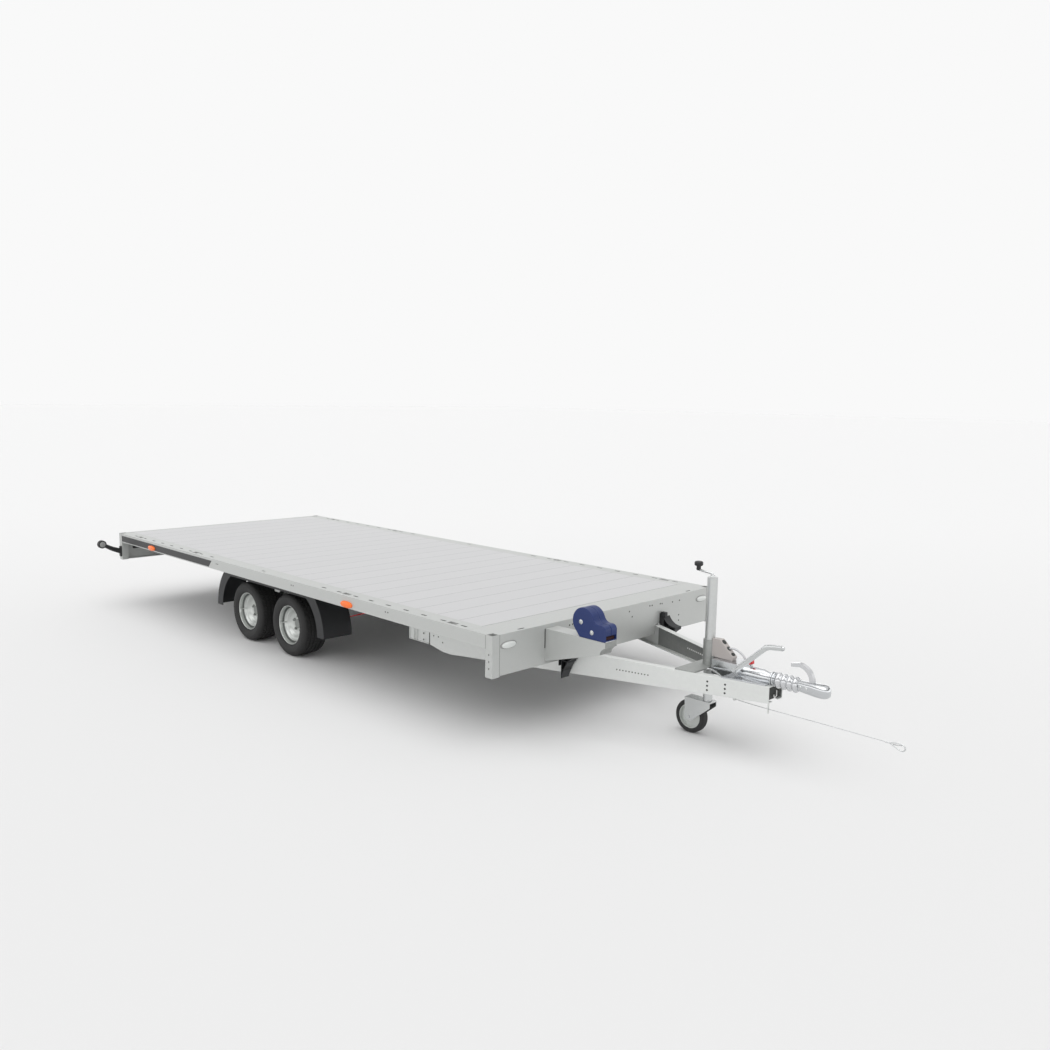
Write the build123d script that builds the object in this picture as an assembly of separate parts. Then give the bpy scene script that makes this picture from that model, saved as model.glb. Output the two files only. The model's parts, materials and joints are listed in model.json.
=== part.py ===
"""Flatbed tandem-axle trailer: a transverse-plank deck on a steel frame, with an
A-frame drawbar, an overrun brake, a jockey wheel, two braked axles and a side winch.

Frame: +X points to the coupling, +Y to the trailer's left, +Z up. The origin lies on
the floor, under the middle of the trailer without its breakaway cable. Millimetres.
"""
import math
import os

from build123d import *

# ---------------------------------------------------------------- driving dimensions
DECK_LENGTH = 5060.0
DECK_WIDTH = 2116.0
NOSE_REACH = 1460.0          # coupling nose ahead of the deck's front edge

SHEET = 4.0                  # folded sheet of the panels and side rails
JOINT_GAP = 1.0              # visible joint between neighbouring deck pieces
CONTACT = 0.3                # seat clearance between curved or loose pieces
RUNNING = 0.1                # radial clearance of pins, tubes and shafts

# deck
PLANK_PITCH = 200.0
PLANK_DEPTH = 30.0
PLANK_SKIN = 3.0
PLANK_RIBS = 5
REAR_STRIP = 47.0
FRONT_STRIP_LEAST = 180.0    # the planks stop where less than this would be left ahead of them

# side rails
RAIL_FACE = 80.0
RAIL_TOP = 116.0
RAIL_LIP = 30.0
SLOT_LENGTH = 52.0
SLOT_WIDTH = 15.0
SLOT_INSET = 42.0
SLOT_OFFSETS = (805.0, 987.0, 1176.0, 1346.0, 1528.0, 1708.0, 1882.0, 2062.0, 2247.0)
RING_OFFSETS = (1075.0, 2150.0)
RING_PAN_LENGTH = 86.0
RING_PAN_WIDTH = 44.0
RING_PAN_DEPTH = 18.0
RING_RADIUS = 15.0
RING_BAR = 4.0
RING_SINK = 0.5              # rings welded into their pans

# corner posts and panels
POST = 56.0
POST_HEIGHT = 243.0
POST_HOLE = 4.5
POST_HOLE_DROPS = (110.0, 150.0, 190.0)
PANEL_HEIGHT = 236.0
PANEL_LIP = 25.0
FRONT_SLOT_INSET = 26.0      # slots in the front strip
FRONT_SLOT_OFFSET = 812.0
REAR_PANEL_RECESS = 12.0

# longitudinal frame
FRAME_RAIL_HEIGHT = 130.0
FRAME_RAIL_FLANGE = 50.0
FRAME_RAIL_WALL = 6.0
FRAME_RAIL_OUTER = 640.0     # half width over the two rails
FRAME_RAIL_SETBACK = 60.0
CROSS_HEIGHT = 46.0
CROSS_WIDTH = 40.0
CROSS_PITCH = 560.0
CROSS_END = 100.0            # first and last cross members from the deck's ends
LEDGE = 30.0

# drawbar
BEAM_FRONT_REACH = 1145.0    # beam noses ahead of the deck's front edge
BEAM_FRONT_HALF = 73.0
BEAM_FRONT_HEIGHT = 92.0
BEAM_BOTTOM = 320.0
BEAM_SLOPE = 0.342           # spread of each beam per unit of length
BEAM_LEVEL_SETBACK = 351.0   # where the beams' rising tops meet the frame rails
BEAM_FLANGE = 40.0
BEAM_WALL = 5.0
KNEE_SETBACK = 802.0         # knee behind the deck's front edge
BEAM_HEEL_SETBACK = 746.0    # where the beams' bottom edges begin to rise to their tails
BEAM_END_SETBACK = 932.0
BEAM_END_RISE = 33.0
TRANSOM_LENGTH = 200.0
TRANSOM_GAP = 14.0

# running gear
WHEEL_SPACING = 611.0
AXLE_PAIR_CENTRE = 2358.5    # middle of the axle pair ahead of the deck's rear edge
TYRE_RADIUS = 234.0
TYRE_WIDTH = 212.0
GUARD_HEADROOM = 92.0        # above the tyres to the underside of the cross members
TYRE_OUTER_FACE = 904.0
RIM_FLANGE_RADIUS = 147.0
RIM_SEAT_RADIUS = 127.0
RIM_WELL_RADIUS = 114.0
RIM_HALF_WIDTH = 90.0
RIM_WALL = 4.0
DISC_OFFSET = -6.0           # wheel disc inboard of the tyre's mid-plane, so a little outboard
DISC_THICKNESS = 8.0
HUB_BORE_RADIUS = 34.0
STUD_CIRCLE = 56.0
STUD_COUNT = 5
STUD_RADIUS = 8.0
DRUM_RADIUS = 100.0
DRUM_DEPTH = 60.0
STUB_RADIUS = 20.0
HUB_REACH = 22.0
AXLE_TUBE = 80.0
AXLE_TUBE_DROP = 68.0        # axle tube's top below the frame rails
ARM_LEAD = 130.0             # axle tube ahead of the wheel centre
ARM_THICKNESS = 26.0
ARM_HALF_HEIGHT = 34.0
BACKPLATE_THICKNESS = 5.0
BACKPLATE_GAP = 5.0
AXLE_SEAT_LENGTH = 1180.0    # deep part of each frame rail, over the axles

# mudguards
GUARD_LENGTH = 1570.0
GUARD_WIDTH = 240.0
GUARD_MARGIN = 166.0         # end curves' radius over the tyres' radius
GUARD_TIP_HEIGHT = 212.0
GUARD_WALL = 3.0
GUARD_LIP = 84.0
GUARD_SETBACK = 18.0         # guard's middle behind the axle pair's middle
GUARD_OUTER_FACE = 889.0

# winch and its bracket
SEAT_OUTER = 636.0
SEAT_WIDTH = 104.0
SEAT_LENGTH = 452.0
SEAT_DROP = 22.0             # seat's top below the deck
SEAT_ROOT_DEPTH = 197.0
SEAT_NOSE_DEPTH = 77.0
SEAT_NOSE_FACE = 31.0        # upright part of the seat's nose
WINCH_REACH = 288.0          # big lobe's centre ahead of the front panel
WINCH_LOBE_RADIUS = 80.0
WINCH_LOBE_HEIGHT = 92.0
WINCH_NOSE_HEIGHT = 89.0
WINCH_NOSE_LENGTH = 164.0
WINCH_NOSE_RADIUS = 30.0
WINCH_HALF_WIDTH = 51.0
STRAP_WINDOW_HEIGHT = 26.0
STRAP_WINDOW_DEPTH = 34.0

# chocks
CHOCK_LENGTH = 220.0
CHOCK_WIDTH = 70.0
CHOCK_DEPTH = 97.0
CHOCK_DROP = 118.0           # chocks' tops below the deck
CHOCK_INNER = 460.0
CHOCK_HOLDER_DEPTH = 32.0
CHOCK_APEX_LIFT = 44.0       # apex above the chock's middle

# lamps
SIDE_LAMP_LENGTH = 127.0
SIDE_LAMP_HEIGHT = 45.0
SIDE_LAMP_DEPTH = 17.0
SIDE_LAMP_POSITIONS = (700.0, 3663.0)
SIDE_LAMP_DROP = 55.0
FRONT_LAMP_OFFSET = 935.0
FRONT_LAMP_DROP = 66.0
ARM_REACH = 167.0
ARM_DROP = 167.0             # arm's root below the deck
ARM_LIFT = 80.0
ARM_LAMP_RADIUS = 43.0
REAR_LAMP_LENGTH = 330.0
REAR_LAMP_HEIGHT = 100.0
REAR_LAMP_OFFSET = 780.0
REAR_LAMP_DROP = 50.0
NUMBER_PLATE = (520.0, 114.0)

# overrun brake and coupling
DRAW_AXIS_RISE = 18.0        # draw axis above the beams' tops at the lever's pivot
DRAW_SHAFT_RADIUS = 25.0
HOUSING_BODY_RADIUS = 42.0
HOUSING_NECK_RADIUS = 33.0
BODY_REAR_REACH = 932.0
BODY_SHOULDER_REACH = 1060.0
NECK_REACH = 1147.0
BOX_REAR_REACH = 764.0
BOX_HALF_WIDTH = 60.0
BOX_DROP = 36.0              # box's bottom below the draw axis
BOX_RISE = 50.0              # box's top above the draw axis
BASE_THICKNESS = 8.0
BELLOWS_END_REACH = 1285.0
BELLOWS_RIDGE_RADIUS = 45.0
BELLOWS_ROOT_RADIUS = 36.0
BELLOWS_BORE_RADIUS = 29.0
BELLOWS_RIDGES = 6
HEAD_SLEEVE_RADIUS = 34.0
HEAD_NOSE_RADIUS = 42.0
BALL_RADIUS = 25.15
BALL_DROP = 12.0             # ball's centre below the draw axis
HEAD_DROP = 37.0
HEAD_RISE = 34.0
HANDLE_HALF = 13.0

# handbrake lever
# reach ahead of the deck and height above the draw axis
LEVER_PIVOT = (925.0, 15.0)
LEVER_BEND = (1105.0, 190.0)
LEVER_END = (1200.0, 200.0)
LEVER_WIDTH = 29.0
LEVER_THICKNESS = 12.0
LEVER_PIN_RADIUS = 8.0
SIDE_CLEARANCE = 5.0

# jockey wheel
JOCKEY_REACH = 708.0
JOCKEY_TUBE_RADIUS = 30.0
JOCKEY_TUBE_WALL = 3.0
JOCKEY_TUBE_TOP = 946.0
JOCKEY_TUBE_BOTTOM = 372.0
JOCKEY_INNER_TOP = 788.0
JOCKEY_TRAIL = 105.0
JOCKEY_WHEEL_RADIUS = 100.0
JOCKEY_WHEEL_HALF = 27.0
JOCKEY_RIM_RADIUS = 72.0
JOCKEY_AXLE_RADIUS = 10.0
FORK_WALL = 5.0
CROWN_GAP = 8.0
CROWN_THICKNESS = 8.0
CLAMP_TOP = 584.0
CLAMP_WALL = 8.0
BRACKET_REAR_REACH = 640.0
BRACKET_FRONT_REACH = 752.0
BRACKET_THICKNESS = 8.0
GUSSET_LENGTH = 112.0
GUSSET_TOP = 572.0
GUSSET_HALF = 21.0
CRANK_THROW = 99.0
CRANK_TOP = 975.0
CRANK_THICKNESS = 14.0
KNOB_TOP = 1026.0

# breakaway cable: a stiff wire rope that runs straight forward below the drawbar
CABLE_RADIUS = 2.0
CABLE_ROUTE = (
    (930.0, -58.5, 291.0), (1000.0, -60.0, 287.5), (1139.0, -60.5, 285.5),
    (1400.0, -59.5, 286.5), (1795.0, -60.5, 284.0),
)
LUG_HALF_WIDTH = 8.0
LUG_THICKNESS = 12.0
LUG_HOLE_DEPTH = 1.5
HANGER_HALF_WIDTH = 6.0
HANGER_THICKNESS = 4.0
HANGER_DROP = 60.0           # hanger's end below the beams
HANGER_SLOT = 7.0
HANGER_SLOT_HEIGHT = 38.0
FERRULE_RADIUS = 4.5
FERRULE_LENGTH = 26.0
HOOK_BAR_RADIUS = 3.5
HOOK_OUTLINE = ((0.0, 0.0), (44.0, 9.0), (64.0, 6.0), (76.0, -5.0), (76.0, -19.0), (62.0, -27.0), (26.0, -14.0))

# ---------------------------------------------------------------- derived places
OVERALL_LENGTH = DECK_LENGTH + NOSE_REACH
DECK_REAR = -OVERALL_LENGTH / 2
DECK_FRONT = DECK_REAR + DECK_LENGTH
DECK_MIDDLE = DECK_REAR + DECK_LENGTH / 2
HALF_WIDTH = DECK_WIDTH / 2
DECK_HEIGHT = 2 * TYRE_RADIUS + GUARD_HEADROOM + CROSS_HEIGHT + SHEET + PLANK_DEPTH
PLANK_BOTTOM = DECK_HEIGHT - PLANK_DEPTH
RAIL_BOTTOM = DECK_HEIGHT - RAIL_FACE
POST_BOTTOM = DECK_HEIGHT - POST_HEIGHT
PANEL_BOTTOM = DECK_HEIGHT - PANEL_HEIGHT
FRAME_RAIL_BOTTOM = PLANK_BOTTOM - FRAME_RAIL_HEIGHT
AXLE_TUBE_TOP = FRAME_RAIL_BOTTOM - AXLE_TUBE_DROP
CROSS_TOP = PLANK_BOTTOM - SHEET
CROSS_BOTTOM = CROSS_TOP - CROSS_HEIGHT
PANEL_HALF = HALF_WIDTH - POST - CONTACT
PLANK_COUNT = int((DECK_LENGTH - REAR_STRIP - FRONT_STRIP_LEAST) // PLANK_PITCH)
PLANKS_REAR = DECK_REAR + REAR_STRIP + 2 * JOINT_GAP
FRONT_STRIP_REAR = PLANKS_REAR + PLANK_COUNT * PLANK_PITCH + 2 * JOINT_GAP
WHEEL_Y = TYRE_OUTER_FACE - TYRE_WIDTH / 2
GUARD_RADIUS = TYRE_RADIUS + GUARD_MARGIN
BEAM_NOSE = DECK_FRONT + BEAM_FRONT_REACH
BEAM_NOSE_TOP = BEAM_BOTTOM + BEAM_FRONT_HEIGHT
TRANSOM_BOTTOM = BEAM_BOTTOM + BEAM_END_RISE
BEAM_LEVEL_X = DECK_FRONT - BEAM_LEVEL_SETBACK
BEAM_RISE = (FRAME_RAIL_BOTTOM - BEAM_NOSE_TOP) / (BEAM_NOSE - BEAM_LEVEL_X)
KNEE_X = DECK_FRONT - KNEE_SETBACK
BEAM_HEEL_X = DECK_FRONT - BEAM_HEEL_SETBACK
BEAM_END_X = DECK_FRONT - BEAM_END_SETBACK
AXLES = {
    "rear": DECK_REAR + AXLE_PAIR_CENTRE - WHEEL_SPACING / 2,
    "front": DECK_REAR + AXLE_PAIR_CENTRE + WHEEL_SPACING / 2,
}
JOCKEY_X = DECK_FRONT + JOCKEY_REACH
SEAT_TOP = DECK_HEIGHT - SEAT_DROP
CHOCK_TOP = DECK_HEIGHT - CHOCK_DROP
ARM_HEIGHT = DECK_HEIGHT - ARM_DROP
REAR_LAMP_TOP = DECK_HEIGHT - REAR_LAMP_DROP
DRAW_AXIS_HEIGHT = BEAM_NOSE_TOP + BEAM_RISE * (BEAM_FRONT_REACH - LEVER_PIVOT[0]) + DRAW_AXIS_RISE
BOX_BOTTOM, BOX_TOP = DRAW_AXIS_HEIGHT - BOX_DROP, DRAW_AXIS_HEIGHT + BOX_RISE
BALL_HEIGHT = DRAW_AXIS_HEIGHT - BALL_DROP
HEAD_BOTTOM, HEAD_TOP = DRAW_AXIS_HEIGHT - HEAD_DROP, DRAW_AXIS_HEIGHT + HEAD_RISE
SIDES = {"right": -1, "left": 1}

PARTS = {}


# ---------------------------------------------------------------- helpers
def block(x0, x1, y0, y1, z0, z1):
    """An upright box between two corners."""
    centre = Pos((x0 + x1) / 2, (y0 + y1) / 2, (z0 + z1) / 2)
    return centre * Box(abs(x1 - x0), abs(y1 - y0), abs(z1 - z0))


def outline(points):
    """A flat face inside a closed run of straight edges."""
    return make_face(Polyline(*points, close=True))


def side_prism(points, y0, y1):
    """Points (x, z) drawn in side view, extruded from y0 to y1."""
    plane = Plane(origin=(0, max(y0, y1), 0), x_dir=(1, 0, 0), z_dir=(0, -1, 0))
    return extrude(plane * outline(points), abs(y1 - y0))


def plan_prism(points, z0, z1):
    """Points (x, y) drawn in plan, extruded from z0 to z1."""
    return extrude(Pos(0, 0, z0) * outline(points), z1 - z0)


def end_prism(points, x0, x1):
    """Points (y, z) drawn in end view, extruded from x0 to x1."""
    plane = Plane(origin=(x0, 0, 0), x_dir=(0, 1, 0), z_dir=(1, 0, 0))
    return extrude(plane * outline(points), x1 - x0)


def rod(start, end, radius):
    """A round bar between two points."""
    axis = Vector(*end) - Vector(*start)
    bar = Cylinder(radius, axis.length, align=(Align.CENTER, Align.CENTER, Align.MIN))
    return Plane(origin=start, z_dir=axis) * bar


def across(x, z, y0, y1, radius):
    """A round bar along Y."""
    return rod((x, y0, z), (x, y1, z), radius)


def turned(points, axis_x, axis_z, mid_y):
    """Points (radius, y) turned about a wheel axis that runs along Y."""
    plane = Plane(origin=(axis_x, mid_y, axis_z), x_dir=(0, 0, 1), z_dir=(1, 0, 0))
    face = plane * outline([(radius, -y) for radius, y in points])
    return revolve(face, Axis((axis_x, mid_y, axis_z), (0, 1, 0)), 360)


def turned_along(points, axis_z):
    """Points (x, radius) turned about the drawbar's axis that runs along X."""
    plane = Plane(origin=(0, 0, axis_z), x_dir=(1, 0, 0), z_dir=(0, -1, 0))
    return revolve(plane * outline(points), Axis((0, 0, axis_z), (1, 0, 0)), 360)


def bar_outline(start, end, width):
    """A straight bar with round ends, drawn in side view between two (x, z) centres."""
    dx, dz = end[0] - start[0], end[1] - start[1]
    middle = ((start[0] + end[0]) / 2, (start[1] + end[1]) / 2)
    turn = math.degrees(math.atan2(dz, dx))
    return Pos(*middle) * Rot(0, 0, turn) * SlotCenterToCenter(math.hypot(dx, dz), width)


def to_left(shape, side):
    """A shape built on the right (-Y) side, as it is on the named side."""
    return mirror(shape, about=Plane.XZ) if side == "left" else shape


def solids_of(shapes):
    """Every solid in a shape or a list of shapes."""
    if isinstance(shapes, (list, tuple)):
        return [solid for shape in shapes for solid in solids_of(shape)]
    return list(shapes.solids())


def add(name, *shapes):
    """Keep a named piece."""
    PARTS[name] = solids_of(shapes)


def beam_y(x):
    """Half distance over the two drawbar beams at a place along the trailer."""
    return BEAM_FRONT_HALF + BEAM_SLOPE * (BEAM_NOSE - x)


def beam_top(x):
    """Height of the beams' sloping top edge."""
    rising = BEAM_NOSE_TOP + BEAM_RISE * (BEAM_NOSE - x)
    return min(rising, FRAME_RAIL_BOTTOM)


def beam_top_run(x0, x1):
    """The top edge between two places, with its break where it meets the frame rails."""
    places = [x0] + ([BEAM_LEVEL_X] if x0 < BEAM_LEVEL_X < x1 else []) + [x1]
    return [(x, beam_top(x)) for x in places]


# ---------------------------------------------------------------- deck
def make_planks():
    half = HALF_WIDTH - RAIL_TOP - JOINT_GAP
    width = PLANK_PITCH - JOINT_GAP
    step = (width - PLANK_SKIN) / (PLANK_RIBS - 1)
    planks = []
    for number in range(PLANK_COUNT):
        x0 = PLANKS_REAR + number * PLANK_PITCH
        points = [(x0, DECK_HEIGHT), (x0 + width, DECK_HEIGHT)]
        for rib in reversed(range(PLANK_RIBS)):
            left = x0 + rib * step
            right = left + PLANK_SKIN
            if rib < PLANK_RIBS - 1:
                points.append((right, DECK_HEIGHT - PLANK_SKIN))
            points += [(right, PLANK_BOTTOM), (left, PLANK_BOTTOM)]
            if rib > 0:
                points.append((left, DECK_HEIGHT - PLANK_SKIN))
        planks.append(side_prism(points, -half, half))
    add("deck_planks", planks)


def slot_places():
    """Lashing slots along each side rail, laid out about the deck's middle."""
    pairs = [DECK_MIDDLE + way * offset for offset in SLOT_OFFSETS for way in (-1, 1)]
    return pairs + [DECK_MIDDLE]


def ring_places():
    return [DECK_MIDDLE + way * offset for offset in RING_OFFSETS for way in (-1, 1)]


def top_slot(x, y, length=SLOT_LENGTH, turn=0.0):
    """A cutter for a slot through a top flange."""
    face = Pos(x, y, DECK_HEIGHT - 2 * SHEET) * Rot(0, 0, turn) * SlotOverall(length, SLOT_WIDTH)
    return extrude(face, 3 * SHEET)


def make_side_rails():
    outer, top = -HALF_WIDTH, DECK_HEIGHT
    inner = outer + RAIL_TOP
    ledge_top = PLANK_BOTTOM
    ledge_bottom = ledge_top - SHEET
    profile = [
        (outer, RAIL_BOTTOM), (outer, top), (inner, top), (inner, ledge_top),
        (inner + LEDGE, ledge_top), (inner + LEDGE, ledge_bottom), (inner - SHEET, ledge_bottom),
        (inner - SHEET, top - SHEET), (outer + SHEET, top - SHEET),
        (outer + SHEET, RAIL_BOTTOM + SHEET), (outer + RAIL_LIP, RAIL_BOTTOM + SHEET),
        (outer + RAIL_LIP, RAIL_BOTTOM),
    ]
    nose_profile = [
        (outer, RAIL_BOTTOM), (outer, top), (outer + SHEET, top),
        (outer + SHEET, RAIL_BOTTOM + SHEET), (outer + RAIL_LIP, RAIL_BOTTOM + SHEET),
        (outer + RAIL_LIP, RAIL_BOTTOM),
    ]
    full_end = FRONT_STRIP_REAR - JOINT_GAP
    rail = end_prism(profile, DECK_REAR + POST, full_end)
    rail += end_prism(nose_profile, full_end, DECK_FRONT - POST)
    slot_y = outer + SLOT_INSET
    for x in slot_places():
        rail -= top_slot(x, slot_y)
    for x in ring_places():
        rail -= block(x - RING_PAN_LENGTH / 2, x + RING_PAN_LENGTH / 2, slot_y - RING_PAN_WIDTH / 2,
                      slot_y + RING_PAN_WIDTH / 2, top - 2 * SHEET, top + SHEET)
    for side in SIDES:
        add(f"side_rail_{side}", to_left(rail, side))


def make_lashing_rings():
    slot_y = -HALF_WIDTH + SLOT_INSET
    half_length = RING_PAN_LENGTH / 2 - CONTACT
    half_width = RING_PAN_WIDTH / 2 - CONTACT
    rings = []
    for side in SIDES:
        for x in ring_places():
            floor = DECK_HEIGHT - RING_PAN_DEPTH
            pan = block(x - half_length, x + half_length, slot_y - half_width, slot_y + half_width,
                        floor - SHEET, DECK_HEIGHT)
            pan -= block(x - half_length + SHEET, x + half_length - SHEET, slot_y - half_width + SHEET,
                         slot_y + half_width - SHEET, floor, DECK_HEIGHT + SHEET)
            ring = Pos(x, slot_y, floor + RING_BAR - RING_SINK) * Torus(RING_RADIUS - RING_BAR, RING_BAR)
            rings.append(to_left(pan + ring, side))
    add("lashing_rings", rings)


def make_corner_posts():
    posts = []
    for side in SIDES:
        for face_x, way in ((DECK_REAR, 1), (DECK_FRONT, -1)):
            x0, x1 = sorted((face_x, face_x + way * POST))
            y0, y1 = -HALF_WIDTH, -HALF_WIDTH + POST
            post = block(x0, x1, y0, y1, POST_BOTTOM, DECK_HEIGHT)
            post -= block(x0 + SHEET, x1 - SHEET, y0 + SHEET, y1 - SHEET, POST_BOTTOM + SHEET, DECK_HEIGHT + SHEET)
            for drop in POST_HOLE_DROPS:
                post -= across((x0 + x1) / 2, DECK_HEIGHT - drop, y0 - SHEET, y0 + 2 * SHEET, POST_HOLE)
            posts.append(to_left(post, side))
    add("corner_posts", posts)


def make_front_panel():
    """Folded front sheet with its deck strip, and a small filler plate behind each front post."""
    face = DECK_FRONT
    strip = block(FRONT_STRIP_REAR, face, -PANEL_HALF, PANEL_HALF, DECK_HEIGHT - SHEET, DECK_HEIGHT)
    sheet = block(face - SHEET, face, -PANEL_HALF, PANEL_HALF, PANEL_BOTTOM, DECK_HEIGHT)
    sheet += block(face - PANEL_LIP, face, -PANEL_HALF, PANEL_HALF, PANEL_BOTTOM, PANEL_BOTTOM + SHEET)
    panel = strip + sheet
    for way in (-1, 1):
        panel -= top_slot(face - FRONT_SLOT_INSET, way * FRONT_SLOT_OFFSET, turn=90.0)
        notch_inner = way * (beam_y(face) - BEAM_FLANGE - 2 * BEAM_WALL)
        notch_outer = way * (beam_y(face - PANEL_LIP) + BEAM_WALL)
        panel -= block(face - 2 * PANEL_LIP, face + SHEET, min(notch_inner, notch_outer),
                       max(notch_inner, notch_outer), PANEL_BOTTOM - SHEET, beam_top(face) + BEAM_WALL)
    filler = block(FRONT_STRIP_REAR, face - POST - CONTACT, -HALF_WIDTH + SHEET + CONTACT,
                   -PANEL_HALF - CONTACT, DECK_HEIGHT - SHEET, DECK_HEIGHT)
    add("front_panel", panel, filler, mirror(filler, about=Plane.XZ))


def make_rear_panel():
    face = DECK_REAR + REAR_PANEL_RECESS
    strip = block(DECK_REAR, DECK_REAR + REAR_STRIP, -PANEL_HALF, PANEL_HALF, DECK_HEIGHT - SHEET, DECK_HEIGHT)
    sheet = block(face, face + SHEET, -PANEL_HALF, PANEL_HALF, POST_BOTTOM, DECK_HEIGHT)
    sheet += block(face, face + PANEL_LIP, -PANEL_HALF, PANEL_HALF, POST_BOTTOM, POST_BOTTOM + SHEET)
    panel = strip + sheet
    for way in (-1, 1):
        y0, y1 = sorted((way * (REAR_LAMP_OFFSET - REAR_LAMP_LENGTH / 2 - CONTACT),
                         way * (REAR_LAMP_OFFSET + REAR_LAMP_LENGTH / 2 + CONTACT)))
        panel -= block(face - SHEET, face + 2 * SHEET, y0, y1, REAR_LAMP_TOP - REAR_LAMP_HEIGHT - CONTACT,
                       REAR_LAMP_TOP + CONTACT)
    add("rear_panel", panel)


# ---------------------------------------------------------------- frame under the deck
def channel_points(outer, bottom, height, flange, wall, way):
    """A C-section in end view whose web is at `outer` and whose flanges point along `way`."""
    top = bottom + height
    return [
        (outer, bottom), (outer, top), (outer + way * flange, top), (outer + way * flange, top - wall),
        (outer + way * wall, top - wall), (outer + way * wall, bottom + wall),
        (outer + way * flange, bottom + wall), (outer + way * flange, bottom),
    ]


def make_frame_rails():
    points = channel_points(-FRAME_RAIL_OUTER, FRAME_RAIL_BOTTOM, FRAME_RAIL_HEIGHT,
                            FRAME_RAIL_FLANGE, FRAME_RAIL_WALL, 1)
    rail = end_prism(points, DECK_REAR + FRAME_RAIL_SETBACK, DECK_FRONT - SHEET)
    middle = DECK_REAR + AXLE_PAIR_CENTRE + ARM_LEAD
    rail += block(middle - AXLE_SEAT_LENGTH / 2, middle + AXLE_SEAT_LENGTH / 2, -FRAME_RAIL_OUTER,
                  -FRAME_RAIL_OUTER + FRAME_RAIL_FLANGE, AXLE_TUBE_TOP, FRAME_RAIL_BOTTOM)
    add("chassis_rails", rail, mirror(rail, about=Plane.XZ))


def cross_places():
    """Distances from the deck's rear edge: one near each end, the rest stepped from the axle pair."""
    reach = int(DECK_LENGTH // CROSS_PITCH)
    inside = [AXLE_PAIR_CENTRE + step * CROSS_PITCH for step in range(-reach, reach + 1)]
    least, most = CROSS_END + CROSS_PITCH / 2, DECK_LENGTH - CROSS_END - CROSS_PITCH / 2
    return [CROSS_END] + [place for place in inside if least < place < most] + [DECK_LENGTH - CROSS_END]


def make_cross_members():
    """Between the frame rails below their flanges, and as outriggers below the side rails' ledges."""
    pieces = []
    for place in cross_places():
        rear = DECK_REAR + place - CROSS_WIDTH / 2
        inner = FRAME_RAIL_OUTER - FRAME_RAIL_WALL
        between = channel_points(rear, CROSS_BOTTOM, PLANK_BOTTOM - FRAME_RAIL_WALL - CROSS_BOTTOM,
                                 CROSS_WIDTH, SHEET, 1)
        pieces.append(side_prism(between, -inner, inner))
        outside = channel_points(rear, CROSS_BOTTOM, CROSS_HEIGHT, CROSS_WIDTH, SHEET, 1)
        outrigger = side_prism(outside, -HALF_WIDTH + RAIL_LIP, -FRAME_RAIL_OUTER)
        pieces += [outrigger, mirror(outrigger, about=Plane.XZ)]
    add("cross_members", pieces)


# ---------------------------------------------------------------- drawbar
def make_drawbar_beams():
    """Tapering channels that close towards the nose, with a straight tail behind the knee."""
    knee_y, nose_y = -beam_y(KNEE_X), -beam_y(BEAM_NOSE)
    slant = math.hypot(1, BEAM_SLOPE)
    wall, flange = BEAM_WALL * slant, BEAM_FLANGE * slant
    web_plan = [(BEAM_NOSE, nose_y), (KNEE_X, knee_y), (BEAM_END_X, knee_y), (BEAM_END_X, knee_y + BEAM_WALL),
                (KNEE_X, knee_y + BEAM_WALL), (BEAM_NOSE, nose_y + wall)]
    flange_plan = [(BEAM_NOSE, nose_y), (KNEE_X, knee_y), (KNEE_X, knee_y + flange), (BEAM_NOSE, nose_y + flange)]
    top_line = beam_top_run(KNEE_X, BEAM_NOSE)
    side = [(BEAM_END_X, FRAME_RAIL_BOTTOM)] + top_line + [
        (BEAM_NOSE, BEAM_BOTTOM), (BEAM_HEEL_X, BEAM_BOTTOM), (BEAM_END_X, BEAM_BOTTOM + BEAM_END_RISE)]
    top_band = top_line + [(x, z - BEAM_WALL) for x, z in reversed(top_line)]
    bottom_band = [(BEAM_HEEL_X, BEAM_BOTTOM), (BEAM_NOSE, BEAM_BOTTOM), (BEAM_NOSE, BEAM_BOTTOM + BEAM_WALL),
                   (BEAM_HEEL_X, BEAM_BOTTOM + BEAM_WALL)]
    low, high = BEAM_BOTTOM - BEAM_WALL, FRAME_RAIL_BOTTOM + BEAM_WALL
    reach = HALF_WIDTH
    beam = plan_prism(web_plan, low, high) & side_prism(side, -reach, 0)
    for band in (top_band, bottom_band):
        beam += plan_prism(flange_plan, low, high) & side_prism(band, -reach, 0)
    for name in SIDES:
        add(f"drawbar_beam_{name}", to_left(beam, name))


def make_drawbar_transom():
    """Box transom under the frame rails; splice plates bolt the beam tails to its ends."""
    front = BEAM_END_X - TRANSOM_GAP
    rear = front - TRANSOM_LENGTH
    half = beam_y(KNEE_X)
    points = channel_points(rear, TRANSOM_BOTTOM, FRAME_RAIL_BOTTOM - TRANSOM_BOTTOM, TRANSOM_LENGTH, BEAM_WALL, 1)
    transom = side_prism(points, -half, half)
    for way in (-1, 1):
        y0, y1 = sorted((way * (half - BEAM_WALL), way * (half - 2 * BEAM_WALL)))
        transom += block(rear, KNEE_X - BEAM_WALL, y0, y1, TRANSOM_BOTTOM + SHEET, FRAME_RAIL_BOTTOM)
    add("drawbar_transom", transom)


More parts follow.
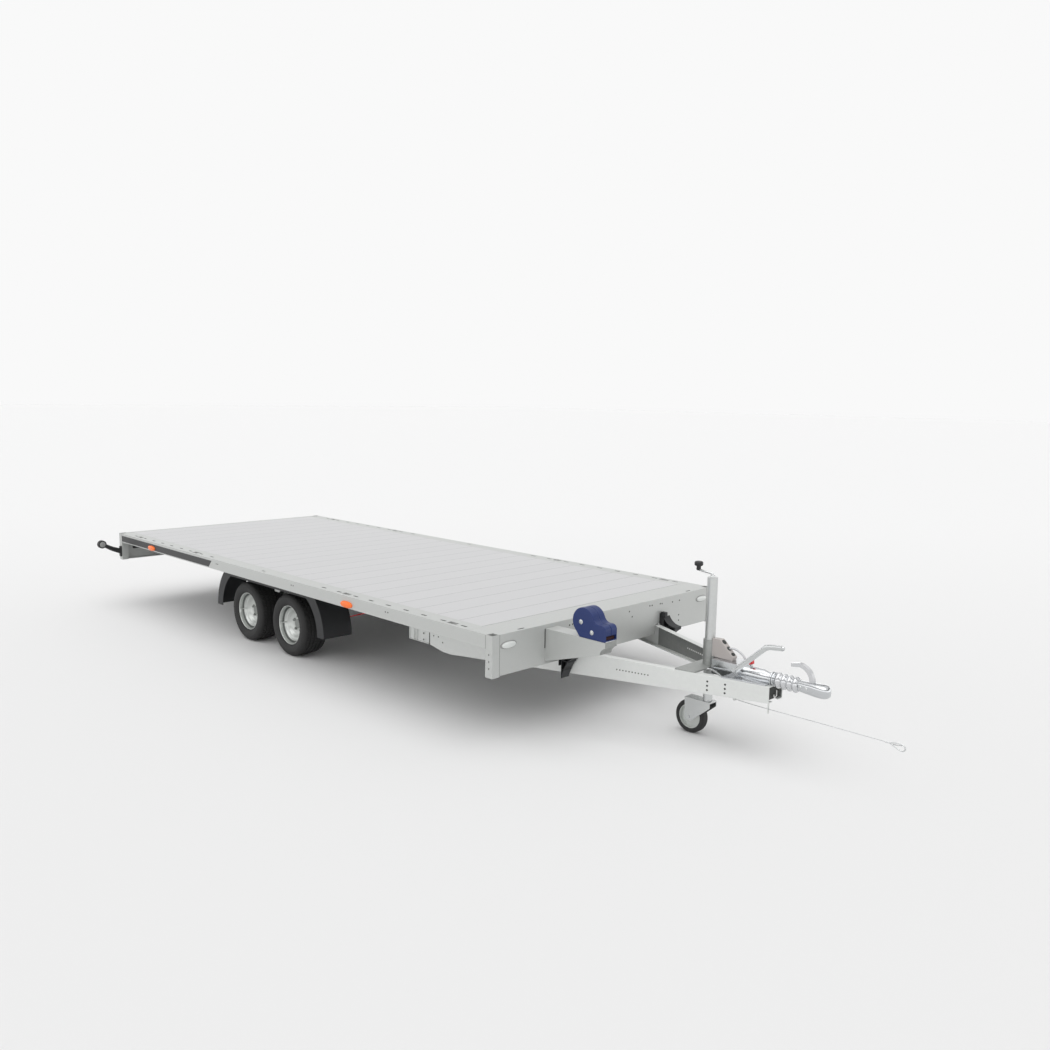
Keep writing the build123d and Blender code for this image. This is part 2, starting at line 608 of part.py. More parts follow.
# ---------------------------------------------------------------- running gear
def make_axle(name, wheel_x):
    """Rubber-sprung axle: square tube, trailing arms, brake backplates and stub shafts."""
    tube_x = wheel_x + ARM_LEAD
    half = AXLE_TUBE / 2
    tube_z = AXLE_TUBE_TOP - half
    tube_half = FRAME_RAIL_OUTER
    axle = block(tube_x - half, tube_x + half, -tube_half, tube_half, AXLE_TUBE_TOP - AXLE_TUBE, AXLE_TUBE_TOP)
    drum_inner = WHEEL_Y - DISC_OFFSET - DISC_THICKNESS / 2 - DRUM_DEPTH
    plate_outer = drum_inner - BACKPLATE_GAP
    for way in (-1, 1):
        arm_face = bar_outline((wheel_x, TYRE_RADIUS), (tube_x, tube_z), 2 * ARM_HALF_HEIGHT)
        plane = Plane(origin=(0, way * tube_half, 0), x_dir=(1, 0, 0), z_dir=(0, -1, 0))
        axle += extrude(plane * arm_face, -way * ARM_THICKNESS)
        plate_inner = way * (plate_outer - BACKPLATE_THICKNESS)
        axle += across(wheel_x, TYRE_RADIUS, plate_inner, way * plate_outer, DRUM_RADIUS)
        axle += across(wheel_x, TYRE_RADIUS, way * tube_half, way * (WHEEL_Y + HUB_REACH - 20), STUB_RADIUS)
    add(f"axle_{name}", axle)


def make_wheel(name, wheel_x, side):
    way = SIDES[side]
    mid_y = way * WHEEL_Y
    half = TYRE_WIDTH / 2

    def lathe(points):
        return turned([(radius, way * y) for radius, y in points], wheel_x, TYRE_RADIUS, mid_y)

    seat, flange, well = RIM_SEAT_RADIUS, RIM_FLANGE_RADIUS, RIM_WELL_RADIUS
    edge = RIM_HALF_WIDTH
    tyre_points = [
        (seat + CONTACT, edge - 10), (flange + CONTACT, edge - 5), (flange + CONTACT, edge + 2),
        (RIM_FLANGE_RADIUS + 12, half - 4), (RIM_FLANGE_RADIUS + 32, half), (TYRE_RADIUS - 34, half - 1),
        (TYRE_RADIUS - 14, half - 8), (TYRE_RADIUS - 4, half - 19), (TYRE_RADIUS, half - 32),
    ]
    tyre = lathe(tyre_points + [(radius, -y) for radius, y in reversed(tyre_points)])
    add(f"tyre_{name}_{side}", tyre)

    outer = [(flange, edge), (flange, edge - 5), (seat, edge - 8), (seat, edge - 32), (well, edge - 42)]
    inner = [(radius - RIM_WALL, y + (RIM_WALL if y < edge - 8 else 0)) for radius, y in outer]
    inner[1] = (flange - RIM_WALL, edge - 1)
    inner[2] = (seat - RIM_WALL, edge - 4)
    outside = outer + [(radius, -y) for radius, y in reversed(outer)]
    inside = inner + [(radius, -y) for radius, y in reversed(inner)]
    del inside[0], inside[-1]
    rim = lathe(outside + list(reversed(inside)))
    disc_mid = -DISC_OFFSET
    disc = [(HUB_BORE_RADIUS, disc_mid - DISC_THICKNESS / 2), (well - RIM_WALL / 2, disc_mid - DISC_THICKNESS / 2),
            (well - RIM_WALL / 2, disc_mid + DISC_THICKNESS / 2), (HUB_BORE_RADIUS, disc_mid + DISC_THICKNESS / 2)]
    rim += lathe(disc)
    for number in range(STUD_COUNT):
        turn = 2 * math.pi * number / STUD_COUNT + math.pi / 2
        x = wheel_x + STUD_CIRCLE * math.cos(turn)
        z = TYRE_RADIUS + STUD_CIRCLE * math.sin(turn)
        rim -= across(x, z, mid_y - way * (DISC_OFFSET + DISC_THICKNESS), mid_y - way * (DISC_OFFSET - DISC_THICKNESS),
                      STUD_RADIUS + CONTACT)
    add(f"rim_{name}_{side}", rim)

    face = disc_mid - DISC_THICKNESS / 2
    bore = STUB_RADIUS + RUNNING
    hub_points = [(bore, face - DRUM_DEPTH), (DRUM_RADIUS, face - DRUM_DEPTH), (DRUM_RADIUS, face),
                  (HUB_BORE_RADIUS - CONTACT, face), (HUB_BORE_RADIUS - CONTACT, HUB_REACH),
                  (0, HUB_REACH), (0, HUB_REACH - 15), (bore, HUB_REACH - 15)]
    hub = lathe(hub_points)
    for number in range(STUD_COUNT):
        turn = 2 * math.pi * number / STUD_COUNT + math.pi / 2
        x = wheel_x + STUD_CIRCLE * math.cos(turn)
        z = TYRE_RADIUS + STUD_CIRCLE * math.sin(turn)
        hub += across(x, z, mid_y + way * (face - 2), mid_y + way * (face + DISC_THICKNESS + 14), STUD_RADIUS)
    add(f"hub_{name}_{side}", hub)


def guard_profile(inset):
    """Tandem mudguard in side view: a flat top between two large end curves."""
    middle = DECK_REAR + AXLE_PAIR_CENTRE - GUARD_SETBACK
    radius = GUARD_RADIUS - inset
    top = CROSS_BOTTOM - inset
    rise = top - GUARD_TIP_HEIGHT
    run = math.sqrt(radius ** 2 - rise ** 2)
    half = GUARD_LENGTH / 2 - GUARD_RADIUS
    bend = math.asin(rise / radius) / 2
    knuckle = (radius * math.cos(bend), radius * math.sin(bend))
    rear, front = middle - half, middle + half
    base = GUARD_TIP_HEIGHT
    edges = [
        ThreePointArc((rear - radius, base), (rear - knuckle[0], base + knuckle[1]), (rear - run, top)),
        Line((rear - run, top), (front + run, top)),
        ThreePointArc((front + run, top), (front + knuckle[0], base + knuckle[1]), (front + radius, base)),
        Line((front + radius, base), (rear - radius, base)),
    ]
    return make_face(Wire(edges))


def make_mudguards():
    inner_y = -GUARD_OUTER_FACE + GUARD_WIDTH

    def slab(inset, y0, y1):
        plane = Plane(origin=(0, y1, 0), x_dir=(1, 0, 0), z_dir=(0, -1, 0))
        return extrude(plane * guard_profile(inset), y1 - y0)

    guard = slab(0, -GUARD_OUTER_FACE, inner_y) - slab(GUARD_WALL, -GUARD_OUTER_FACE, inner_y)
    guard += slab(0, -GUARD_OUTER_FACE, -GUARD_OUTER_FACE + GUARD_WALL) - slab(
        GUARD_LIP, -GUARD_OUTER_FACE, -GUARD_OUTER_FACE + GUARD_WALL)
    for side in SIDES:
        add(f"mudguard_{side}", to_left(guard, side))
    middle = DECK_REAR + AXLE_PAIR_CENTRE
    hanger_y = -WHEEL_Y - 10.0
    top = CROSS_BOTTOM - GUARD_WALL
    hanger = side_prism([(middle - 78, top), (middle + 170, top), (middle + 30, top - 130), (middle - 30, top - 130)],
                        hanger_y, hanger_y + SHEET)
    hanger += block(middle - 78, middle + 170, hanger_y, hanger_y + 60, top - SHEET, top)
    add("mudguard_hangers", hanger, mirror(hanger, about=Plane.XZ))


# ---------------------------------------------------------------- front panel fittings
def make_winch_seat():
    rear, nose = DECK_FRONT, DECK_FRONT + SEAT_LENGTH
    side_points = [(rear, SEAT_TOP), (nose, SEAT_TOP), (nose, SEAT_TOP - SEAT_NOSE_FACE),
                   (nose - SEAT_NOSE_FACE, SEAT_TOP - SEAT_NOSE_DEPTH), (rear, SEAT_TOP - SEAT_ROOT_DEPTH)]
    y0, y1 = -SEAT_OUTER, -SEAT_OUTER + SEAT_WIDTH
    seat = side_prism(side_points, y0, y0 + SHEET) + side_prism(side_points, y1 - SHEET, y1)
    seat += block(rear, nose, y0, y1, SEAT_TOP - SHEET, SEAT_TOP)
    seat += block(rear, rear + SHEET, y0, y1, SEAT_TOP - SEAT_ROOT_DEPTH, SEAT_TOP)
    add("winch_seat", seat)


def winch_outline():
    """Side view of the cover: a big round lobe over the drum and a low nose over the strap."""
    x, base = DECK_FRONT + WINCH_REACH, SEAT_TOP
    z, radius = base + WINCH_LOBE_HEIGHT, WINCH_LOBE_RADIUS
    nose = x + WINCH_NOSE_LENGTH
    lobe = Pos(x, z) * Circle(radius)
    waist = outline([(x - radius * 0.78, z - radius * 0.6), (x + radius * 0.78, z - radius * 0.6),
                     (x + radius * 0.5, base), (x - radius * 0.32, base)])
    body = Pos((x + nose) / 2, base + WINCH_NOSE_HEIGHT / 2) * Rectangle(nose - x, WINCH_NOSE_HEIGHT)
    corner = body.vertices().sort_by(Axis.Y)[-2:].sort_by(Axis.X)[-1]
    body = fillet(corner, WINCH_NOSE_RADIUS)
    return lobe + waist + body


def make_winch():
    centre_y = -SEAT_OUTER + SEAT_WIDTH / 2
    nose = DECK_FRONT + WINCH_REACH + WINCH_NOSE_LENGTH
    window_bottom = SEAT_TOP + 10.0
    window_half = WINCH_HALF_WIDTH - 6.0
    window = block(nose - STRAP_WINDOW_DEPTH, nose + SHEET, centre_y - window_half, centre_y + window_half,
                   window_bottom, window_bottom + STRAP_WINDOW_HEIGHT)
    halves = []
    for way in (-1, 1):
        edge = centre_y + way * WINCH_HALF_WIDTH
        seam = centre_y + way * JOINT_GAP / 2
        top_y = max(edge, seam)
        plane = Plane(origin=(0, top_y, 0), x_dir=(1, 0, 0), z_dir=(0, -1, 0))
        halves.append(extrude(plane * winch_outline(), abs(edge - seam)) - window)
    add("winch_cover", halves)
    strap = block(nose - STRAP_WINDOW_DEPTH + CONTACT, nose - 12.0, centre_y - window_half + 3.0,
                  centre_y + window_half - 3.0, window_bottom + CONTACT, window_bottom + STRAP_WINDOW_HEIGHT - 3.0)
    add("winch_strap", strap)


def make_chocks():
    """Wheel chocks stand on end in sheet holders on the front panel, curved faces forward."""
    back = DECK_FRONT + CHOCK_HOLDER_DEPTH
    top, bottom = CHOCK_TOP, CHOCK_TOP - CHOCK_LENGTH
    peak = (top + bottom) / 2 + CHOCK_APEX_LIFT
    apex = back + CHOCK_DEPTH
    edges = [
        Line((back, bottom), (back, top)),
        ThreePointArc((back, top), (back + CHOCK_DEPTH * 0.42, (top + peak) / 2 - 10), (apex, peak + 10)),
        Line((apex, peak + 10), (apex, peak - 10)),
        ThreePointArc((apex, peak - 10), (back + CHOCK_DEPTH * 0.42, (bottom + peak) / 2 + 14), (back, bottom)),
    ]
    y1 = -CHOCK_INNER
    plane = Plane(origin=(0, y1, 0), x_dir=(1, 0, 0), z_dir=(0, -1, 0))
    chock = extrude(plane * make_face(Wire(edges)), CHOCK_WIDTH)
    centre_y = y1 - CHOCK_WIDTH / 2
    holder = block(DECK_FRONT, back, centre_y - 24, centre_y + 24, bottom + 70, top - 10)
    holder += block(DECK_FRONT, back + 26, centre_y - 12, centre_y + 12, top + 2, top + 43)
    holder += block(DECK_FRONT, back - SHEET, centre_y - 12, centre_y + 12, top - 10, top + 43)
    add("wheel_chocks", chock, mirror(chock, about=Plane.XZ))
    add("chock_holders", holder, mirror(holder, about=Plane.XZ))


# ---------------------------------------------------------------- lamps
def oval_lamp(length, height, depth):
    """A domed oval lens with its base on the XY plane."""
    base = extrude(Ellipse(length / 2, height / 2), depth * 0.4)
    return base + extrude(Pos(0, 0, depth * 0.4) * Ellipse(length / 2 - 4, height / 2 - 4), depth * 0.6)


def make_marker_lamps():
    side_plane_z = DECK_HEIGHT - SIDE_LAMP_DROP
    lamps = []
    for place in SIDE_LAMP_POSITIONS:
        plane = Plane(origin=(DECK_REAR + place, -HALF_WIDTH, side_plane_z), x_dir=(1, 0, 0), z_dir=(0, -1, 0))
        lamp = plane * oval_lamp(SIDE_LAMP_LENGTH, SIDE_LAMP_HEIGHT, SIDE_LAMP_DEPTH)
        lamps += [lamp, mirror(lamp, about=Plane.XZ)]
    add("side_marker_lamps", lamps)
    plane = Plane(origin=(DECK_FRONT, -FRONT_LAMP_OFFSET, DECK_HEIGHT - FRONT_LAMP_DROP),
                  x_dir=(0, 1, 0), z_dir=(1, 0, 0))
    lamp = plane * oval_lamp(SIDE_LAMP_LENGTH, SIDE_LAMP_HEIGHT, SIDE_LAMP_DEPTH)
    add("front_marker_lamps", lamp, mirror(lamp, about=Plane.XZ))


def make_width_markers():
    """Rubber arms on the rear posts that carry round lamps beyond the deck's width."""
    x = DECK_REAR + POST / 2
    root_y = -HALF_WIDTH
    tip = (x, root_y - ARM_REACH, ARM_HEIGHT + ARM_LIFT)
    arm = block(x - 20, x + 20, root_y - 14, root_y, ARM_HEIGHT - 48, ARM_HEIGHT + 48)
    arm += rod((x, root_y - 6, ARM_HEIGHT + 4), tip, 13.0)
    arm += rod((x - 20, tip[1], tip[2]), (x + 20, tip[1], tip[2]), ARM_LAMP_RADIUS)
    arms, lenses = [], []
    for side in SIDES:
        arms.append(to_left(arm, side))
        for start, end in ((x + 20, x + 24), (x - 24, x - 20)):
            lens = rod((start, tip[1], tip[2]), (end, tip[1], tip[2]), ARM_LAMP_RADIUS - 8)
            lenses.append(to_left(lens, side))
    add("width_marker_arms", arms)
    add("width_marker_lenses", lenses)


def make_rear_lamps():
    depth = REAR_PANEL_RECESS + 30.0
    lamp = block(DECK_REAR + JOINT_GAP, DECK_REAR + depth, -REAR_LAMP_OFFSET - REAR_LAMP_LENGTH / 2,
                 -REAR_LAMP_OFFSET + REAR_LAMP_LENGTH / 2, REAR_LAMP_TOP - REAR_LAMP_HEIGHT, REAR_LAMP_TOP)
    add("rear_lamps", lamp, mirror(lamp, about=Plane.XZ))
    width, height = NUMBER_PLATE
    face = DECK_REAR + REAR_PANEL_RECESS
    add("number_plate", block(face - SHEET, face, -width / 2, width / 2, REAR_LAMP_TOP - height, REAR_LAMP_TOP))


# ---------------------------------------------------------------- overrun brake and coupling
def make_overrun_housing():
    rear = DECK_FRONT + BODY_REAR_REACH
    shoulder = DECK_FRONT + BODY_SHOULDER_REACH
    neck = DECK_FRONT + NECK_REACH
    axis = DRAW_AXIS_HEIGHT
    profile = [(rear, 0), (rear, HOUSING_BODY_RADIUS), (shoulder, HOUSING_BODY_RADIUS),
               (shoulder + 40, HOUSING_NECK_RADIUS), (neck, HOUSING_NECK_RADIUS), (neck, 0)]
    housing = turned_along(profile, axis)
    box_rear = DECK_FRONT + BOX_REAR_REACH
    housing += block(box_rear, rear + BASE_THICKNESS, -BOX_HALF_WIDTH, BOX_HALF_WIDTH, BOX_BOTTOM, BOX_TOP)
    base_front, base_rear = neck - 25, rear - 40
    band = [(base_rear, beam_top(base_rear)), (base_front, beam_top(base_front)),
            (base_front, beam_top(base_front) + BASE_THICKNESS), (base_rear, beam_top(base_rear) + BASE_THICKNESS)]
    plan = [(base_rear, -beam_y(base_rear) + BEAM_WALL), (base_front, -beam_y(base_front) + BEAM_WALL),
            (base_front, beam_y(base_front) - BEAM_WALL), (base_rear, beam_y(base_rear) - BEAM_WALL)]
    housing += side_prism(band, -HALF_WIDTH, HALF_WIDTH) & plan_prism(plan, BEAM_BOTTOM, BOX_TOP)
    housing -= rod((rear + 60, 0, axis), (neck + 5, 0, axis), DRAW_SHAFT_RADIUS + RUNNING)
    pivot_x, pivot_z = DECK_FRONT + LEVER_PIVOT[0], axis + LEVER_PIVOT[1]
    pin_end = -BOX_HALF_WIDTH - SIDE_CLEARANCE - LEVER_THICKNESS - 6.0
    housing += across(pivot_x, pivot_z, -BOX_HALF_WIDTH, -BOX_HALF_WIDTH - SIDE_CLEARANCE + 1.0, 14.0)
    housing += across(pivot_x, pivot_z, -BOX_HALF_WIDTH, pin_end, LEVER_PIN_RADIUS)
    add("overrun_housing", housing)
    catch_x = rear + 62.0
    catch_z = axis + HOUSING_BODY_RADIUS
    catch = block(catch_x - 9, catch_x + 9, -24, -4, catch_z - 2, catch_z + 20)
    red = block(catch_x - 14, catch_x + 14, -28, 0, catch_z + 20, catch_z + 44)
    housing_catch = catch - turned_along([(rear, 0), (rear, HOUSING_BODY_RADIUS), (shoulder, HOUSING_BODY_RADIUS),
                                          (shoulder, 0)], axis)
    add("brake_release_catch", housing_catch + red)


def make_bellows():
    start, end = DECK_FRONT + NECK_REACH, DECK_FRONT + BELLOWS_END_REACH
    pitch = (end - start) / BELLOWS_RIDGES
    ridge_line = [(start, BELLOWS_ROOT_RADIUS)]
    for number in range(BELLOWS_RIDGES):
        left = start + number * pitch
        ridge_line += [(left + pitch * 0.35, BELLOWS_RIDGE_RADIUS), (left + pitch * 0.65, BELLOWS_RIDGE_RADIUS),
                       (left + pitch, BELLOWS_ROOT_RADIUS)]
    profile = ridge_line + [(end, BELLOWS_BORE_RADIUS), (start, BELLOWS_BORE_RADIUS)]
    add("overrun_bellows", turned_along(profile, DRAW_AXIS_HEIGHT))


def make_coupling():
    axis = DRAW_AXIS_HEIGHT
    sleeve = DECK_FRONT + BELLOWS_END_REACH
    ball_x = DECK_FRONT + NOSE_REACH - HEAD_NOSE_RADIUS
    head = rod((DECK_FRONT + BODY_REAR_REACH + 60 + 5, 0, axis), (sleeve + 20, 0, axis), DRAW_SHAFT_RADIUS)
    head += rod((sleeve, 0, axis), (sleeve + 62, 0, axis), HEAD_SLEEVE_RADIUS)
    neck_half, height = 30.0, HEAD_TOP - HEAD_BOTTOM
    plan = [(sleeve + 40, -neck_half), (ball_x, -HEAD_NOSE_RADIUS), (ball_x, HEAD_NOSE_RADIUS), (sleeve + 40, neck_half)]
    cheek = [(sleeve + 40, HEAD_BOTTOM + 14), (ball_x - 20, HEAD_BOTTOM), (ball_x + HEAD_NOSE_RADIUS, HEAD_BOTTOM),
             (ball_x + HEAD_NOSE_RADIUS, HEAD_TOP - 14), (ball_x - 10, HEAD_TOP), (sleeve + 40, HEAD_TOP - 4)]
    shell = plan_prism(plan, HEAD_BOTTOM, HEAD_TOP)
    shell += rod((ball_x, 0, HEAD_BOTTOM), (ball_x, 0, HEAD_BOTTOM + height), HEAD_NOSE_RADIUS)
    head += shell & side_prism(cheek, -HEAD_NOSE_RADIUS, HEAD_NOSE_RADIUS)
    head -= rod((ball_x, 0, HEAD_BOTTOM - 5), (ball_x, 0, BALL_HEIGHT), BALL_RADIUS)
    head -= Pos(ball_x, 0, BALL_HEIGHT) * Sphere(BALL_RADIUS)
    add("coupling_head", head)
    plane = Plane(origin=(sleeve, HANDLE_HALF, HEAD_TOP), x_dir=(1, 0, 0), z_dir=(0, -1, 0))
    edges = [
        ThreePointArc((84, -4), (56, 64), (-8, 91)),
        Line((-8, 91), (-52, 80)),
        Line((-52, 80), (-50, 62)),
        Line((-50, 62), (-4, 69)),
        ThreePointArc((-4, 69), (40, 48), (60, -4)),
        Line((60, -4), (84, -4)),
    ]
    handle = extrude(plane * make_face(Wire(edges)), 2 * HANDLE_HALF)
    handle -= head
    add("coupling_handle", handle)


def make_handbrake_lever():
    y1 = -BOX_HALF_WIDTH - SIDE_CLEARANCE
    pivot, bend, end = [(DECK_FRONT + x, DRAW_AXIS_HEIGHT + z) for x, z in (LEVER_PIVOT, LEVER_BEND, LEVER_END)]
    plane = Plane(origin=(0, y1, 0), x_dir=(1, 0, 0), z_dir=(0, -1, 0))
    lever = extrude(plane * bar_outline(pivot, bend, LEVER_WIDTH), LEVER_THICKNESS)
    lever += extrude(plane * bar_outline(bend, end, LEVER_WIDTH), LEVER_THICKNESS)
    lever -= across(*pivot, y1 + 1, y1 - LEVER_THICKNESS - 1, LEVER_PIN_RADIUS + RUNNING)
    add("handbrake_lever", lever)


# ---------------------------------------------------------------- jockey wheel
def make_jockey_bracket():
    """Plate across the drawbar beams with the clamp sleeve and its stiffening gusset."""
    rear, front = DECK_FRONT + BRACKET_REAR_REACH, DECK_FRONT + BRACKET_FRONT_REACH
    band = [(rear, beam_top(rear)), (front, beam_top(front)), (front, beam_top(front) + BRACKET_THICKNESS),
            (rear, beam_top(rear) + BRACKET_THICKNESS)]
    plan = [(rear, -beam_y(rear) + BEAM_WALL), (front, -beam_y(front) + BEAM_WALL),
            (front, beam_y(front) - BEAM_WALL), (rear, beam_y(rear) - BEAM_WALL)]
    bracket = side_prism(band, -HALF_WIDTH, HALF_WIDTH) & plan_prism(plan, BEAM_BOTTOM, CLAMP_TOP)
    sleeve_radius = JOCKEY_TUBE_RADIUS + CLAMP_WALL
    seat_z = beam_top(JOCKEY_X) + BRACKET_THICKNESS / 2
    bracket += rod((JOCKEY_X, 0, seat_z), (JOCKEY_X, 0, CLAMP_TOP), sleeve_radius)
    toe = min(JOCKEY_X + GUSSET_LENGTH, front - SHEET)
    bracket += side_prism([(JOCKEY_X, seat_z), (toe, seat_z), (toe, seat_z + 20), (JOCKEY_X + sleeve_radius, GUSSET_TOP),
                           (JOCKEY_X, GUSSET_TOP)], -GUSSET_HALF, GUSSET_HALF)
    bracket -= rod((JOCKEY_X, 0, BEAM_BOTTOM), (JOCKEY_X, 0, CLAMP_TOP + 5), JOCKEY_TUBE_RADIUS + RUNNING)
    add("jockey_bracket", bracket)
    boss_z = CLAMP_TOP - 40.0
    handle = rod((JOCKEY_X, sleeve_radius + CONTACT, boss_z), (JOCKEY_X, sleeve_radius + 36, boss_z), 9.0)
    handle += rod((JOCKEY_X - 45, sleeve_radius + 36, boss_z), (JOCKEY_X + 45, sleeve_radius + 36, boss_z), 6.0)
    add("jockey_clamp_handle", handle)


def make_jockey_leg():
    bore = JOCKEY_TUBE_RADIUS - JOCKEY_TUBE_WALL
    tube = rod((JOCKEY_X, 0, JOCKEY_TUBE_BOTTOM), (JOCKEY_X, 0, JOCKEY_TUBE_TOP), JOCKEY_TUBE_RADIUS)
    tube -= rod((JOCKEY_X, 0, JOCKEY_TUBE_BOTTOM - 5), (JOCKEY_X, 0, JOCKEY_TUBE_TOP - 6), bore)
    add("jockey_outer_tube", tube)

    arm_bottom = CRANK_TOP - CRANK_THICKNESS
    crank = rod((JOCKEY_X, 0, JOCKEY_TUBE_TOP), (JOCKEY_X, 0, arm_bottom + 2), 16.0)
    crank += extrude(Pos(JOCKEY_X - CRANK_THROW / 2, 0, arm_bottom) * SlotCenterToCenter(CRANK_THROW, 26.0),
                     CRANK_THICKNESS)
    grip_x = JOCKEY_X - CRANK_THROW
    crank += rod((grip_x, 0, CRANK_TOP - 2), (grip_x, 0, CRANK_TOP + 12), 6.0)
    add("jockey_crank", crank)
    knob = rod((grip_x - 30, 0, KNOB_TOP - 15), (grip_x + 30, 0, KNOB_TOP - 15), 15.0)
    knob += rod((grip_x, 0, CRANK_TOP + 12), (grip_x, 0, KNOB_TOP - 15), 13.0)
    add("jockey_crank_knob", knob)

    crown_bottom = 2 * JOCKEY_WHEEL_RADIUS + CROWN_GAP
    crown_top = crown_bottom + CROWN_THICKNESS
    leg = rod((JOCKEY_X, 0, crown_top + CONTACT), (JOCKEY_X, 0, JOCKEY_INNER_TOP), bore - RUNNING)
    leg += rod((JOCKEY_X, 0, crown_bottom), (JOCKEY_X, 0, crown_top + 1), JOCKEY_AXLE_RADIUS)
    add("jockey_inner_tube", leg)

    axle_x, axle_z = JOCKEY_X - JOCKEY_TRAIL, JOCKEY_WHEEL_RADIUS
    inner_y = JOCKEY_WHEEL_HALF + SIDE_CLEARANCE
    outer_y = inner_y + FORK_WALL
    nose, tail = JOCKEY_X + 38.0, axle_x - 30.0
    fork = block(tail, nose, -outer_y, outer_y, crown_bottom, crown_top)
    cheek = [(nose, crown_top), (tail, crown_top), (axle_x - 24, axle_z - 16), (axle_x + 16, axle_z - 24),
             (nose, crown_bottom - 26)]
    for way in (-1, 1):
        fork += side_prism(cheek, way * inner_y, way * outer_y)
    fork += across(axle_x, axle_z, -outer_y - 4, outer_y + 4, JOCKEY_AXLE_RADIUS)
    fork -= rod((JOCKEY_X, 0, crown_bottom - 5), (JOCKEY_X, 0, crown_top + 5), JOCKEY_AXLE_RADIUS + RUNNING)
    add("jockey_fork", fork)

    half, rim = JOCKEY_WHEEL_HALF, JOCKEY_RIM_RADIUS
    tread = [(rim + CONTACT, half - 3), (rim + 10, half), (JOCKEY_WHEEL_RADIUS - 9, half),
             (JOCKEY_WHEEL_RADIUS - 2, half - 6), (JOCKEY_WHEEL_RADIUS, half - 13)]
    tyre = turned(tread + [(radius, -y) for radius, y in reversed(tread)], axle_x, axle_z, 0)
    add("jockey_wheel_tyre", tyre)
    bore = JOCKEY_AXLE_RADIUS + RUNNING
    hub = [(bore, half + 2), (18.0, half + 2), (22.0, 12.0), (rim - 8, 8.0), (rim - 4, half - 4), (rim, half - 4)]
    add("jockey_wheel_rim", turned(hub + [(radius, -y) for radius, y in reversed(hub)], axle_x, axle_z, 0))


# ---------------------------------------------------------------- breakaway cable
def make_breakaway_cable():
    points = [Vector(DECK_FRONT + x, y, z) for x, y, z in CABLE_ROUTE]
    radii = []
    for before, here, after in zip(points, points[1:], points[2:]):
        arriving, leaving = here - before, after - here
        turn = math.radians(arriving.get_angle(leaving))
        radii.append(0.45 * min(arriving.length, leaving.length) / math.tan(turn / 2))
    path = FilletPolyline(*points, radius=radii)
    section = Plane(origin=points[0], z_dir=points[1] - points[0]) * Circle(CABLE_RADIUS)
    cable = sweep(section, path)
    print("cable radii", [round(radius, 1) for radius in radii])
    section_area = math.pi * CABLE_RADIUS ** 2
    print("cable length", round(path.length, 1), "volume ratio", round(cable.volume / section_area / path.length, 5))
    add("breakaway_cable", cable)

    last, previous = points[-1], points[-2]
    way = (last - previous).normalized()
    eye = last + way * FERRULE_LENGTH
    hook = rod(tuple(last), tuple(eye), FERRULE_RADIUS)
    corners = [(eye.X + x, eye.Y, eye.Z + z) for x, z in HOOK_OUTLINE]
    for start, end in zip(corners, corners[1:] + corners[:1]):
        hook += rod(start, end, HOOK_BAR_RADIUS)
        hook += Pos(*end) * Sphere(HOOK_BAR_RADIUS)
    add("breakaway_hook", hook)


def make_cable_guides():
    """A lug under the overrun housing holds the cable; a slotted hanger under the right beam guides it."""
    x, y, z = CABLE_ROUTE[0]
    x += DECK_FRONT
    lug = block(x - LUG_THICKNESS, x, y - LUG_HALF_WIDTH, y + LUG_HALF_WIDTH, z - LUG_HALF_WIDTH, BOX_BOTTOM)
    lug -= rod((x - LUG_HOLE_DEPTH, y, z), (x + LUG_THICKNESS, y, z), CABLE_RADIUS + CONTACT)
    hanger_x, hanger_y, hanger_z = CABLE_ROUTE[2]
    hanger_x += DECK_FRONT
    half = HANGER_THICKNESS / 2
    hanger = block(hanger_x - half, hanger_x + half, hanger_y - HANGER_HALF_WIDTH, hanger_y + HANGER_HALF_WIDTH,
                   BEAM_BOTTOM - HANGER_DROP, BEAM_BOTTOM)
    hanger -= block(hanger_x - 2 * half, hanger_x + 2 * half, hanger_y - HANGER_SLOT / 2, hanger_y + HANGER_SLOT / 2,
                    hanger_z - HANGER_SLOT_HEIGHT / 2, hanger_z + HANGER_SLOT_HEIGHT / 2)
    add("cable_guides", lug, hanger)


def main():
    make_planks()
    make_side_rails()
    make_lashing_rings()
    make_corner_posts()
    make_front_panel()
    make_rear_panel()
    make_frame_rails()
    make_cross_members()
    make_drawbar_beams()
    make_drawbar_transom()
    for name, wheel_x in AXLES.items():
        make_axle(name, wheel_x)
        for side in SIDES:
            make_wheel(name, wheel_x, side)
    make_mudguards()
    make_winch_seat()
    make_winch()
    make_chocks()
    make_marker_lamps()
    make_width_markers()
    make_rear_lamps()
    make_overrun_housing()
    make_bellows()
    make_coupling()
    make_handbrake_lever()
    make_jockey_bracket()
    make_jockey_leg()
    make_breakaway_cable()
    make_cable_guides()
    os.makedirs("parts", exist_ok=True)
    for name, solids in PARTS.items():
        shape = solids[0] if len(solids) == 1 else Compound(solids)
        export_step(shape, f"parts/{name}.step")
    print(len(PARTS), "parts")


main()
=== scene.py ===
"""Looks of the flatbed trailer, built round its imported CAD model.

The scene is in metres and in the CAD model's own frame: +X points to the coupling, +Y to the
trailer's left, +Z up, and the origin lies on the floor. Sizes kept in the classes are in
millimetres; Shape turns them to metres as it hands a piece over.
"""

import json
import logging
import math
from collections.abc import Callable, Iterable, Sequence
from dataclasses import dataclass
from enum import Enum

import bmesh
import bpy
from mathutils import Matrix, Vector

